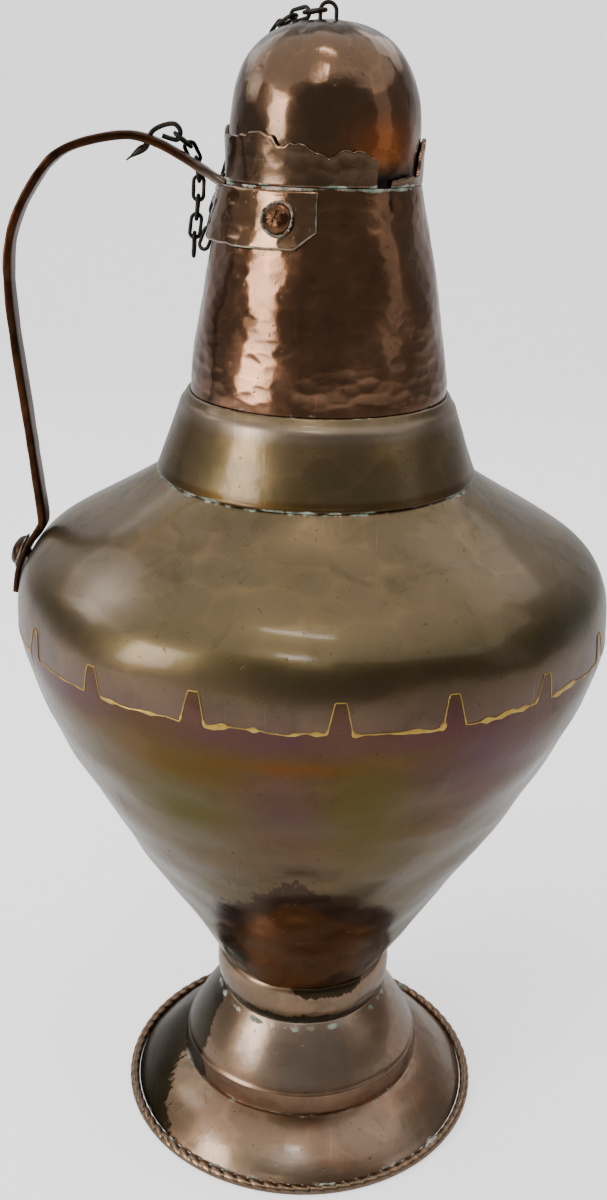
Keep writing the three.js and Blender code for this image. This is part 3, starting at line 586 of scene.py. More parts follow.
@dataclass
class Shell:
    """Sheet metal on a skin: the outer side, an inner side one wall behind it, and closed edges."""

    name: str
    skin: Skin
    wall: float
    azimuths: Array
    rows: int = 80
    low: Array | float | None = None
    high: Array | float | None = None
    lift: Array | float = 0.0
    ring: bool = True
    roll: float = 0.0
    crusts: list[Crust] = field(default_factory=list)

    def grid(self, rows: int) -> tuple[Array, Array]:
        """Place a grid between the shell's lower and upper edges.

        Formula: even shares of the way up, drawn towards both edges where those are rolled.

        Args:
            rows: how many rows.

        Returns:
            Azimuths and arc lengths, each of shape (rows, columns).
        """
        azimuth = self.azimuths[None, :]
        low = 0.0 if self.low is None else self.skin.arc_of(self.low)
        high = self.skin.length if self.high is None else self.skin.arc_of(self.high)
        share = np.linspace(0.0, 1.0, rows)[:, None]
        if self.roll:
            share = (1 - np.cos(share * math.pi)) / 2 * 0.5 + share * 0.5
        return azimuth + share * 0.0, low + (high - low) * share + azimuth * 0.0

    def spots(self) -> tuple[Array, Array, Array]:
        """Azimuths, arc lengths and heights of the outer side's grid, to place marks by."""
        azimuth, arc = self.grid(self.rows)
        return azimuth, arc, self.skin.height_of(arc)

    def crust(self, azimuth: Array, height: Array) -> Array:
        """How much verdigris sits at each point: patchy bands at given heights.

        Args:
            azimuth: angles in radians.
            height: heights in millimetres.

        Returns:
            Values from zero up, of the inputs' shape.
        """
        total = np.zeros(np.broadcast(azimuth, height).shape)
        for band in self.crusts:
            patchy = speckle(azimuth, height, seed=self.skin.seed + 31, size=6.0, radius=self.skin.widest)
            total = np.maximum(total, near(height, band.height, band.width) * (0.3 + patchy) * band.amount)
        return total

    def build(self, extra: Marks | None = None) -> Piece:
        """Make the object.

        Args:
            extra: further values on the outer grid, by attribute name.

        Returns:
            The object.
        """
        azimuth, arc = self.grid(self.rows)
        lift = np.zeros(azimuth.shape) + self.lift
        ends = np.zeros(azimuth.shape)
        if self.roll:
            edge = np.minimum(arc - arc[:1], arc[-1:] - arc)
            if not self.ring:
                across = self.azimuths * self.skin.widest * 0.8
                edge = np.minimum(edge, np.minimum(across - across[0], across[-1] - across)[None, :])
            ends = self.wall * 0.45 * np.clip(1.0 - edge / self.roll, 0.0, 1.0) ** 2
        outer, ridge = self.skin.at(azimuth, arc, lift - ends)
        few = max(4, self.rows // 4)
        azimuth_in, arc_in = self.grid(few)
        lift_in = np.zeros(azimuth_in.shape) + (self.lift if np.ndim(self.lift) < 2 else self.lift[0])
        inner, _ = self.skin.at(azimuth_in, arc_in, lift_in - self.wall, False)
        inner = inner[::-1]
        if not self.ring:
            middle_out, _ = self.skin.at(azimuth, arc, lift - self.wall / 2, False)
            middle_in, _ = self.skin.at(azimuth_in, arc_in, lift_in - self.wall / 2, False)
            outer = np.concatenate([middle_out[:, :1], outer, middle_out[:, -1:]], axis=1)
            inner = np.concatenate([middle_in[::-1][:, :1], inner, middle_in[::-1][:, -1:]], axis=1)
        crust = self.crust(azimuth, outer[:, :, 2] if self.ring else outer[:, 1:-1, 2])
        marks = {"ridge": ridge, "crust": crust}
        marks.update(extra or {})
        values = {}
        for key, value in marks.items():
            value = value + np.zeros(azimuth.shape)
            if not self.ring:
                value = np.concatenate([value[:, :1], value, value[:, -1:]], axis=1)
            values[key] = np.concatenate([value, np.zeros((few, value.shape[1]))], axis=0)
        return make_piece(self.name, np.concatenate([outer, inner], axis=0), (True, self.ring), values)


def around(columns: int) -> Array:
    """Evenly spaced azimuths of a whole turn."""
    return np.linspace(0.0, TURN, columns, endpoint=False)


# Materials


class Graph:
    """A short way to write a node tree."""

    def __init__(self, tree: Tree) -> None:
        """Keep the tree that nodes are added to."""
        self.tree = tree

    def add(self, kind: str, inputs: Inputs | None = None, **settings: object) -> bpy.types.Node:
        """Add a node, set its properties, and set or link its inputs.

        Args:
            kind: the node's type name, without its ShaderNode prefix.
            inputs: values or output sockets, by input name or number.
            settings: the node's own properties.

        Returns:
            The node.
        """
        node = self.tree.nodes.new("ShaderNode" + kind)
        for key, value in settings.items():
            setattr(node, key, value)
        for key, value in (inputs or {}).items():
            if isinstance(value, Socket):
                self.tree.links.new(value, node.inputs[key])
            else:
                node.inputs[key].default_value = value
        return node

    def math(self, operation: str, first: object, second: object = 0.0, clamp: bool = False) -> Socket:
        """A Math node's output."""
        return self.add("Math", {0: first, 1: second}, operation=operation, use_clamp=clamp).outputs[0]

    def mix(self, factor: object, first: object, second: object, blend: str = "MIX") -> Socket:
        """Add a colour Mix node.

        Args:
            factor: the share of the second colour.
            first: the first colour.
            second: the second colour.
            blend: the blend's type.

        Returns:
            The node's output.
        """
        node = self.add("Mix", data_type="RGBA", blend_type=blend)
        for key, value in ((0, factor), (6, first), (7, second)):
            if isinstance(value, Socket):
                self.tree.links.new(value, node.inputs[key])
            else:
                node.inputs[key].default_value = value
        return node.outputs[2]

    def noise(self, vector: object, scale: object, detail: float, rough: float, warp: float = 0.0) -> Socket:
        """A Noise node's factor."""
        inputs = {"Vector": vector, "Scale": scale, "Detail": detail, "Roughness": rough, "Distortion": warp}
        return self.add("TexNoise", inputs).outputs["Fac"]

    def step(self, value: object, low: float, high: float) -> Socket:
        """A smooth step of a value between two limits."""
        inputs = {"Value": value, "From Min": low, "From Max": high}
        return self.add("MapRange", inputs, interpolation_type="SMOOTHSTEP").outputs[0]

    def mark(self, name: str) -> Socket:
        """The value of a piece's own attribute, zero where it has none."""
        return self.add("Attribute", attribute_name=name).outputs["Fac"]


def new_group(name: str, inputs: list[tuple[str, str, object]], outputs: list[tuple[str, str]]) -> Tree:
    """Make a shader node group with named sockets.

    Args:
        name: the group's name.
        inputs: name, kind (Float, Color or Vector) and default of each input.
        outputs: name and kind of each output.

    Returns:
        The group with its input and output nodes.
    """
    tree = bpy.data.node_groups.new(name, "ShaderNodeTree")
    for title, kind, default in inputs:
        socket = tree.interface.new_socket(title, in_out="INPUT", socket_type="NodeSocket" + kind)
        if default is not None:
            socket.default_value = default
    for title, kind in outputs:
        tree.interface.new_socket(title, in_out="OUTPUT", socket_type="NodeSocket" + kind)
    tree.nodes.new("NodeGroupInput")
    tree.nodes.new("NodeGroupOutput")
    return tree


def patina_group() -> Tree:
    """Cloudy patina of old metal: three tones in patches, worn ridges, stains and fine grain.

    Returns:
        The group, with outputs Color, Rough and Height.
    """
    inputs = [
        ("Vector", "Vector", None),
        ("Ground", "Color", (0.2, 0.15, 0.1, 1.0)),
        ("Warm", "Color", (0.3, 0.15, 0.08, 1.0)),
        ("Dark", "Color", (0.06, 0.04, 0.03, 1.0)),
        ("Patch", "Float", 14.0),
        ("Stain", "Float", 0.5),
        ("Ridge", "Float", 0.0),
    ]
    tree = new_group("patina", inputs, [("Color", "Color"), ("Rough", "Float"), ("Height", "Float")])
    graph = Graph(tree)
    given = tree.nodes["Group Input"].outputs
    spot = given["Vector"]
    cloud = graph.noise(spot, given["Patch"], 5.0, 0.6, 0.4)
    moved = graph.add("VectorMath", {0: spot, 1: (3.7, 1.9, 5.3)}, operation="ADD").outputs[0]
    stains = graph.noise(moved, graph.math("MULTIPLY", given["Patch"], 4.3), 6.0, 0.68, 0.6)
    grain = graph.noise(spot, 1100.0, 3.0, 0.6)
    specks = graph.step(graph.noise(moved, 420.0, 2.0, 0.5), 0.67, 0.75)
    color = graph.mix(graph.step(cloud, 0.42, 0.64), given["Ground"], given["Warm"])
    dark = graph.math("MULTIPLY", graph.step(stains, 0.5, 0.7), given["Stain"])
    dark = graph.math("MAXIMUM", dark, graph.math("MULTIPLY", specks, 0.8))
    color = graph.mix(dark, color, given["Dark"])
    lighter = graph.mix(1.0, color, (1.7, 1.55, 1.45, 1.0), "MULTIPLY")
    worn = graph.math("MULTIPLY", graph.step(given["Ridge"], 0.6, 1.0), 0.4)
    color = graph.mix(worn, color, lighter)
    rough = graph.math("ADD", graph.math("MULTIPLY", stains, 0.1), graph.math("MULTIPLY", grain, 0.04))
    rough = graph.math("ADD", rough, graph.math("MULTIPLY", dark, 0.1))
    height = graph.math("ADD", graph.math("MULTIPLY", stains, 0.7), graph.math("MULTIPLY", grain, 0.1))
    height = graph.math("SUBTRACT", height, graph.math("MULTIPLY", specks, 0.25))
    out = tree.nodes["Group Output"].inputs
    tree.links.new(color, out["Color"])
    tree.links.new(rough, out["Rough"])
    tree.links.new(height, out["Height"])
    return tree


def crust_group() -> Tree:
    """Verdigris and pale lime that sit in seams.

    Returns:
        The group, with outputs Color, Mask and Height.
    """
    outputs = [("Color", "Color"), ("Mask", "Float"), ("Height", "Float")]
    tree = new_group("verdigris", [("Vector", "Vector", None), ("Amount", "Float", 0.0)], outputs)
    graph = Graph(tree)
    given = tree.nodes["Group Input"].outputs
    blotch = graph.noise(given["Vector"], 240.0, 5.0, 0.65, 0.3)
    dots = graph.noise(given["Vector"], 900.0, 2.0, 0.5)
    total = graph.math("ADD", graph.math("MULTIPLY", blotch, 0.9), graph.math("MULTIPLY", dots, 0.35))
    mask = graph.step(graph.math("ADD", total, given["Amount"]), 1.14, 1.42)
    tint = graph.step(graph.noise(given["Vector"], 130.0, 3.0, 0.5), 0.38, 0.66)
    color = graph.mix(tint, (0.13, 0.19, 0.14, 1.0), (0.44, 0.46, 0.38, 1.0))
    out = tree.nodes["Group Output"].inputs
    tree.links.new(color, out["Color"])
    tree.links.new(mask, out["Mask"])
    tree.links.new(graph.math("MULTIPLY", mask, dots), out["Height"])
    return tree


def scratch_group() -> Tree:
    """Long fine scratches in several directions.

    Returns:
        The group, with output Mask.
    """
    tree = new_group("scratches", [("Vector", "Vector", None), ("Scale", "Float", 34.0)], [("Mask", "Float")])
    graph = Graph(tree)
    given = tree.nodes["Group Input"].outputs
    spread = graph.step(graph.noise(given["Vector"], 22.0, 2.0, 0.5), 0.45, 0.7)
    total = None
    for lean, stretch in ((0.5, 16.0), (-0.9, 22.0), (1.4, 13.0)):
        turn = (lean, lean * 0.7, lean * 1.3)
        inputs = {"Vector": given["Vector"], "Rotation": turn, "Scale": (stretch, 0.5, 0.5)}
        lines = graph.noise(graph.add("Mapping", inputs).outputs[0], given["Scale"], 2.0, 0.5)
        mask = graph.step(lines, 0.7, 0.75)
        total = mask if total is None else graph.math("MAXIMUM", total, mask)
    tree.links.new(graph.math("MULTIPLY", total, spread), tree.nodes["Group Output"].inputs["Mask"])
    return tree


@dataclass(frozen=True)
class Finish:
    """A metal finish: the settings of the shared groups, and tints that marks bring in."""

    name: str
    ground: Color
    warm: Color
    dark: Color
    metallic: float = 1.0
    rough: float = 0.2
    patch: float = 14.0
    stain: float = 0.5
    scratch: float = 0.4
    bump: float = 0.3
    coat: float = 0.25
    tints: tuple[tuple[str, Color], ...] = ()
    crisp: tuple[str, ...] = ()

    def build(self, groups: dict[str, Tree]) -> Material:
        """Make the material.

        Args:
            groups: the shared node groups, by name.

        Returns:
            The material.
        """
        material = bpy.data.materials.new(self.name)
        material.use_nodes = True
        tree = material.node_tree
        graph = Graph(tree)
        shader = tree.nodes["Principled BSDF"]
        spot = graph.add("TexCoord").outputs["Object"]
        patina = graph.add("Group", node_tree=groups["patina"])
        for title, tone in (("Ground", self.ground), ("Warm", self.warm), ("Dark", self.dark)):
            patina.inputs[title].default_value = (*tone, 1.0)
        patina.inputs["Patch"].default_value = self.patch
        patina.inputs["Stain"].default_value = self.stain
        tree.links.new(spot, patina.inputs["Vector"])
        tree.links.new(graph.mark("ridge"), patina.inputs["Ridge"])
        crust = graph.add("Group", node_tree=groups["verdigris"])
        tree.links.new(spot, crust.inputs["Vector"])
        tree.links.new(graph.mark("crust"), crust.inputs["Amount"])
        scratches = graph.add("Group", node_tree=groups["scratches"])
        tree.links.new(spot, scratches.inputs["Vector"])
        color = patina.outputs["Color"]
        dull = crust.outputs["Mask"]
        cloud = graph.math("ADD", graph.noise(spot, 55.0, 5.0, 0.6, 0.5), 0.5)
        tall = graph.add("VectorMath", {0: spot, 1: (1.0, 1.0, 0.25)}, operation="MULTIPLY").outputs[0]
        jag = graph.noise(tall, 240.0, 5.0, 0.7)
        for title, tone in self.tints:
            amount = graph.math("MULTIPLY", graph.mark(title), cloud, True)
            if title in self.crisp:
                amount = graph.step(graph.math("ADD", graph.mark(title), jag), 0.98, 1.04)
                dull = graph.math("MAXIMUM", dull, amount)
            color = graph.mix(amount, color, (*tone, 1.0))
        scratched = graph.math("MULTIPLY", scratches.outputs["Mask"], self.scratch)
        bright = graph.mix(1.0, color, (2.2, 2.0, 1.8, 1.0), "MULTIPLY")
        color = graph.mix(scratched, color, bright)
        color = graph.mix(crust.outputs["Mask"], color, crust.outputs["Color"])
        rough = graph.math("ADD", patina.outputs["Rough"], self.rough)
        rough = graph.math("ADD", rough, graph.math("MULTIPLY", crust.outputs["Mask"], 0.5), True)
        metal = graph.math("MULTIPLY", crust.outputs["Mask"], self.metallic)
        metal = graph.math("SUBTRACT", self.metallic, metal, True)
        height = graph.math("MULTIPLY", crust.outputs["Height"], 2.0)
        height = graph.math("ADD", patina.outputs["Height"], height)
        height = graph.math("SUBTRACT", height, graph.math("MULTIPLY", scratched, 0.4))
        bump = graph.add("Bump", {"Strength": self.bump, "Distance": 0.0006, "Height": height})
        tree.links.new(color, shader.inputs["Base Color"])
        tree.links.new(rough, shader.inputs["Roughness"])
        tree.links.new(metal, shader.inputs["Metallic"])
        tree.links.new(bump.outputs[0], shader.inputs["Normal"])
        tree.links.new(bump.outputs[0], shader.inputs["Coat Normal"])
        coat = graph.math("MULTIPLY", dull, self.coat)
        tree.links.new(graph.math("SUBTRACT", self.coat, coat, True), shader.inputs["Coat Weight"])
        shader.inputs["Coat Roughness"].default_value = 0.09
        return material


VIOLET = ("violet", (0.085, 0.036, 0.044))
AMBER = ("amber_and_reflection", (0.13, 0.045, 0.01))
OLIVE = ("olive", (0.075, 0.056, 0.006))
SHADE = ("shade", (0.032, 0.012, 0.004))
# Paler tone: painted highlights on the foot, shoulder, neck band and dome; also a paler mottle on the dish
# and the strap's root.
PALE = ("pale", (0.3, 0.23, 0.18))
# Painted reflection: an orange glow low on the dome's front right, drawn as colour.
LID_REFLECTION = ("amber_and_reflection", (0.4, 0.11, 0.02))
# Olive-dark tone: painted shade low on the shoulder, and the darker foot of the neck band.
OLIVE_SHADE = ("shade", (0.05, 0.037, 0.013))
# Painted reflection: the foot's dark reflection on the lower bowl.
BOWL_DARK_REFLECTION = ("shade", (0.042, 0.016, 0.002))
# The redder core of that painted reflection, and the red at the neck band's foot.
REFLECTION_AND_RED_LIP = ("reflection_and_red_lip", (0.15, 0.056, 0.003))
# Painted shade and reflection on the foot: dark notches in the bead, dark reflections on the dish, cone and
# waist.
FOOT_SHADE_AND_REFLECTION = ("shade", (0.036, 0.026, 0.013))
# Painted shade: darkens the dome's lowest rim, in the gap inside the torn collar.
PAINTED_GAP_SHADE = ("painted_gap_shade", (0.008, 0.004, 0.003))
# Painted light: makes the lower bowl paler towards the foot.
BOWL_PAINTED_LIGHT = ("pale", (0.11, 0.08, 0.036))
GOLD = ("pale", (0.3, 0.19, 0.1))

FINISHES = {
    "foot": Finish(
        "foot_copper", ground=(0.182, 0.116, 0.068), warm=(0.215, 0.124, 0.076), dark=(0.072, 0.048, 0.018),
        rough=0.25, coat=0.5, tints=(AMBER, PALE, FOOT_SHADE_AND_REFLECTION), crisp=("shade",),
    ),
    "bowl": Finish(
        "bowl_copper", ground=(0.088, 0.058, 0.016), warm=(0.1, 0.056, 0.022), dark=(0.045, 0.028, 0.008),
        rough=0.14, patch=9.0, coat=0.0, tints=(VIOLET, AMBER, OLIVE, BOWL_PAINTED_LIGHT, BOWL_DARK_REFLECTION, REFLECTION_AND_RED_LIP), crisp=("shade",),
    ),
    "shoulder": Finish(
        "shoulder_copper", ground=(0.125, 0.088, 0.04), warm=(0.135, 0.09, 0.044), dark=(0.065, 0.044, 0.015),
        rough=0.29, patch=9.0, coat=0.3, tints=(OLIVE_SHADE, VIOLET, PALE, REFLECTION_AND_RED_LIP),
    ),
    "neck": Finish(
        "neck_copper", ground=(0.158, 0.075, 0.036), warm=(0.23, 0.11, 0.058), dark=(0.052, 0.025, 0.01),
        rough=0.12, patch=16.0, coat=0.35, tints=(SHADE, GOLD),
    ),
    "lid": Finish(
        "lid_copper", ground=(0.12, 0.068, 0.036), warm=(0.16, 0.082, 0.045), dark=(0.048, 0.024, 0.01),
        rough=0.13, patch=16.0, coat=0.35, tints=(LID_REFLECTION, PALE, PAINTED_GAP_SHADE),
    ),
    "handle": Finish(
        "handle_copper", ground=(0.036, 0.015, 0.007), warm=(0.07, 0.026, 0.011), dark=(0.012, 0.006, 0.004),
        rough=0.24, patch=40.0, coat=0.0, tints=(PALE,),
    ),
    "rivet": Finish(
        "rivet_copper", ground=(0.075, 0.038, 0.02), warm=(0.12, 0.052, 0.028), dark=(0.016, 0.009, 0.005),
        rough=0.15, patch=60.0, coat=0.0,
    ),
    "iron": Finish(
        "black_iron", ground=(0.018, 0.017, 0.014), warm=(0.04, 0.03, 0.02), dark=(0.007, 0.007, 0.006),
        metallic=0.85, rough=0.36, patch=90.0, stain=0.6, coat=0.0,
    ),
    "brass": Finish(
        "seam_brass", ground=(0.42, 0.27, 0.06), warm=(0.5, 0.33, 0.08), dark=(0.14, 0.08, 0.02),
        rough=0.28, patch=60.0, coat=0.0,
    ),
    "solder": Finish(
        "old_solder", ground=(0.3, 0.29, 0.27), warm=(0.22, 0.2, 0.17), dark=(0.1, 0.1, 0.085),
        metallic=0.7, rough=0.4, patch=80.0, stain=0.6, coat=0.0,
    ),
}
Materials = dict[str, Material]


# The jug


@dataclass
class Lines:
    """The jug's sizes, heights and smooth outlines, as the frame was drawn.

    Sizes are in millimetres and leans in degrees. A name with z is a height over the ground, and a
    pull, rise, drop or round sets how far a curve's control point stands off.
    """

    gap: float = 0.3
    sheet: float = 1.6
    foot_radius: float = 104.5
    bead: float = 5.6
    step_radius: float = 71.5
    step_ledge: float = 2.2
    waist_bore: float = 44.0
    waist_edge: float = 47.4
    bowl_foot: float = 47.7
    belly: float = 154.6
    shoulder_top: float = 80.9
    band_top: float = 70.0
    neck_root: float = 64.4
    neck_top: float = 46.8
    mouth: float = 42.5
    z_step: float = 24.4
    z_band: float = 36.9
    z_waist: float = 65.4
    z_waist_top: float = 89.9
    z_bowl: float = 92.5
    z_belly: float = 310.5
    z_seam: float = 308.5
    z_shoulder: float = 384.4
    z_band_top: float = 418.9
    z_neck: float = 425.9
    z_mouth: float = 525.6
    collar: float = 47.1
    collar_wall: float = 1.2
    lid: float = 45.4
    lid_wall: float = 1.5
    z_lid: float = 525.9
    z_dome: float = 543.9
    z_crown: float = 596.9
    bowl_lean: float = 71.3
    bowl_pull: float = 27.0
    belly_drop: float = 52.8
    belly_rise: float = 44.7
    shoulder_lean: float = 35.9
    shoulder_pull: float = 61.8
    shoulder_tuck: float = 4.6
    floor_drop: float = 11.0
    neck_pulls: tuple[Point, Point] = ((-1.9, 36.0), (6.2, -29.7))
    dome_rise: float = 27.0
    dome_round: float = 38.0

    def bowl(self) -> Array:
        """The lower bowl's outer side, from its foot to the widest ring.

        Returns:
            An array of (radius, height) points.
        """
        lean = math.radians(self.bowl_lean)
        foot = np.array([self.bowl_foot, self.z_bowl])
        pull = foot + self.bowl_pull * np.array([math.cos(lean), math.sin(lean)])
        return bezier([foot, pull, (self.belly, self.z_belly - self.belly_drop), (self.belly, self.z_belly)])

    def shoulder(self) -> Array:
        """The shoulder's outer side, from the widest ring to the neck band, with its hidden lip.

        Returns:
            An array of (radius, height) points.
        """
        lean = math.radians(self.shoulder_lean)
        down = np.array([math.cos(lean), -math.sin(lean)])
        end = np.array([self.shoulder_top, self.z_shoulder])
        rise = (self.belly, self.z_belly + self.belly_rise)
        curve = bezier([(self.belly, self.z_belly), rise, end + self.shoulder_pull * down, end])
        return np.vstack([curve, end - self.shoulder_tuck * down])

    def belly_line(self) -> Array:
        """The whole belly: the tucked floor, the bowl and the shoulder.

        Returns:
            An array of (radius, height) points.
        """
        tuck = self.waist_bore - self.gap
        rest = self.z_waist_top + self.gap
        low = rest - self.floor_drop
        floor = [(0.0, low), (tuck - 1.0, low), (tuck, low + 1.0), (tuck, rest), (self.bowl_foot - 0.9, rest)]
        return np.vstack([floor, self.bowl(), self.shoulder()[1:]])

    def neck(self) -> Array:
        """The neck's outer side, from the band to the mouth.

        Returns:
            An array of (radius, height) points.
        """
        low = np.array([self.neck_root, self.z_neck])
        high = np.array([self.neck_top, self.z_mouth])
        return bezier([low, low + self.neck_pulls[0], high + self.neck_pulls[1], high])

    def dome(self) -> Array:
        """The lid's outer side, from its lower edge to the crown.

        Returns:
            An array of (radius, height) points.
        """
        side = np.array([[self.lid, self.z_lid], [self.lid, self.z_dome - 1.0]])
        rise = (self.lid, self.z_dome + self.dome_rise)
        corners = [(self.lid, self.z_dome), rise, (self.dome_round, self.z_crown), (0.0, self.z_crown)]
        return np.vstack([side, bezier(corners)])


@dataclass(frozen=True)
class PhotoCamera:
    """The camera at the photograph's viewing angle, in metres, degrees and lens millimetres."""

    spot: tuple[float, float, float] = (0.0, -0.66, 0.5684)
    pitch: float = 21.32
    yaw: float = -0.417
    roll: float = 1.408
    lens: float = 39.56
    sensor: float = 36.0

    def build(self) -> None:
        """Create the camera and make it the scene's."""
        pitch, yaw, roll = (math.radians(angle) for angle in (self.pitch, self.yaw, self.roll))
        forward = Vector((math.sin(yaw) * math.cos(pitch), math.cos(yaw) * math.cos(pitch), -math.sin(pitch)))
        level = Vector((math.cos(yaw), -math.sin(yaw), 0.0))
        upright = level.cross(forward)
        right = level * math.cos(roll) + upright * math.sin(roll)
        up = upright * math.cos(roll) - level * math.sin(roll)
        camera = bpy.data.cameras.new("photo_camera")
        camera.lens = self.lens
        camera.sensor_width = self.sensor
        holder = bpy.data.objects.new("photo_camera", camera)
        turn = Matrix((right, up, -forward)).transposed().to_4x4()
        holder.matrix_world = Matrix.Translation(self.spot) @ turn
        bpy.context.scene.collection.objects.link(holder)
        bpy.context.scene.camera = holder


AIM = Vector((0.0, 0.0, 0.33))


@dataclass(frozen=True)
class Lamp:
    """A soft rectangular light that faces the jug, in metres and watts."""

    name: str
    spot: tuple[float, float, float]
    width: float
    height: float
    power: float

    def build(self) -> None:
        """Create the light."""
        light = bpy.data.lights.new(self.name, "AREA")
        light.shape = "RECTANGLE"
        light.size = self.width
        light.size_y = self.height
        light.energy = self.power
        lamp = bpy.data.objects.new(self.name, light)
        lamp.location = self.spot
        lamp.rotation_euler = (AIM - Vector(self.spot)).to_track_quat("-Z", "Y").to_euler()
        bpy.context.scene.collection.objects.link(lamp)


LAMPS = (
    Lamp("sky_panel", (0.0, -0.35, 2.6), 8.0, 3.3, 92.0),
    Lamp("back_left", (-1.4, 1.4, 1.85), 1.7, 1.2, 8.5),
    Lamp("back_right", (1.15, 1.5, 2.0), 1.4, 0.95, 6.4),
    Lamp("ceiling_tube", (-0.1, -0.42, 2.2), 0.5, 0.05, 3.4),
    Lamp("skylight", (-0.2, -1.5, 2.15), 0.34, 0.2, 4.5),
    Lamp("window", (-1.4, -0.9, 0.82), 0.75, 0.9, 23.0),
    Lamp("pane", (-1.75, -1.15, 1.28), 0.26, 0.16, 1.0),
    Lamp("left_window", (-1.6, 0.35, 1.15), 0.5, 0.4, 2.0),
    Lamp("right_wall", (1.5, -0.45, 0.9), 0.6, 0.9, 0.8),
)


@dataclass(frozen=True)
class Studio:
    """A pale floor that sweeps up behind the jug, an even room and soft lights, in metres."""

    half_width: float = 6.0
    front: float = -7.0
    back: float = 2.2
    sweep_radius: float = 1.2
    top: float = 5.0
    tone: Color = (0.92, 0.92, 0.92)
    floor_glow: float = 0.95
    room_light: float = 0.24
    room_glow: float = 0.6

    def floor(self) -> None:
        """Lay the floor. It glows for the camera alone, so the backdrop is pale and the metal isn't."""
        turn = np.linspace(-math.pi / 2, 0.0, 16)
        reach = self.back + self.sweep_radius * np.cos(turn)
        curve = np.stack([reach, self.sweep_radius * (1.0 + np.sin(turn))], axis=1)
        side = np.vstack([[self.front, 0.0], curve, [self.back + self.sweep_radius, self.top]])
        edges = [np.column_stack([np.full(len(side), x), side]) for x in (-self.half_width, self.half_width)]
        floor = bpy.data.meshes.new("floor")
        points = np.stack(edges, axis=1).reshape(-1, 3)
        floor.from_pydata(points.tolist(), [], grid_faces(len(side), 2, False, False).tolist())
        floor.shade_smooth()
        holder = bpy.data.objects.new("floor", floor)
        bpy.context.scene.collection.objects.link(holder)
        material = bpy.data.materials.new("pale_floor")
        material.use_nodes = True
        shader = material.node_tree.nodes["Principled BSDF"]
        shader.inputs["Base Color"].default_value = (*self.tone, 1.0)
        shader.inputs["Roughness"].default_value = 0.9
        shader.inputs["Emission Color"].default_value = (1.0, 1.0, 1.0, 1.0)
        glow = self.seen(material.node_tree, self.floor_glow)
        material.node_tree.links.new(glow, shader.inputs["Emission Strength"])
        floor.materials.append(material)

    def seen(self, tree: Tree, strength: float) -> Socket:
        """A strength that only the camera sees."""
        graph = Graph(tree)
        return graph.math("MULTIPLY", graph.add("LightPath").outputs["Is Camera Ray"], strength)

    def room(self) -> None:
        """Light the room evenly."""
        world = bpy.data.worlds.new("studio")
        world.use_nodes = True
        tree = world.node_tree
        background = tree.nodes["Background"]
        background.inputs[0].default_value = (1.0, 1.0, 1.0, 1.0)
        total = Graph(tree).math("ADD", self.seen(tree, self.room_glow), self.room_light)
        tree.links.new(total, background.inputs[1])
        bpy.context.scene.world = world

    def build(self) -> None:
        """Lay the floor, light the room and hang the lamps."""
        self.floor()
        self.room()
        for lamp in LAMPS:
            lamp.build()


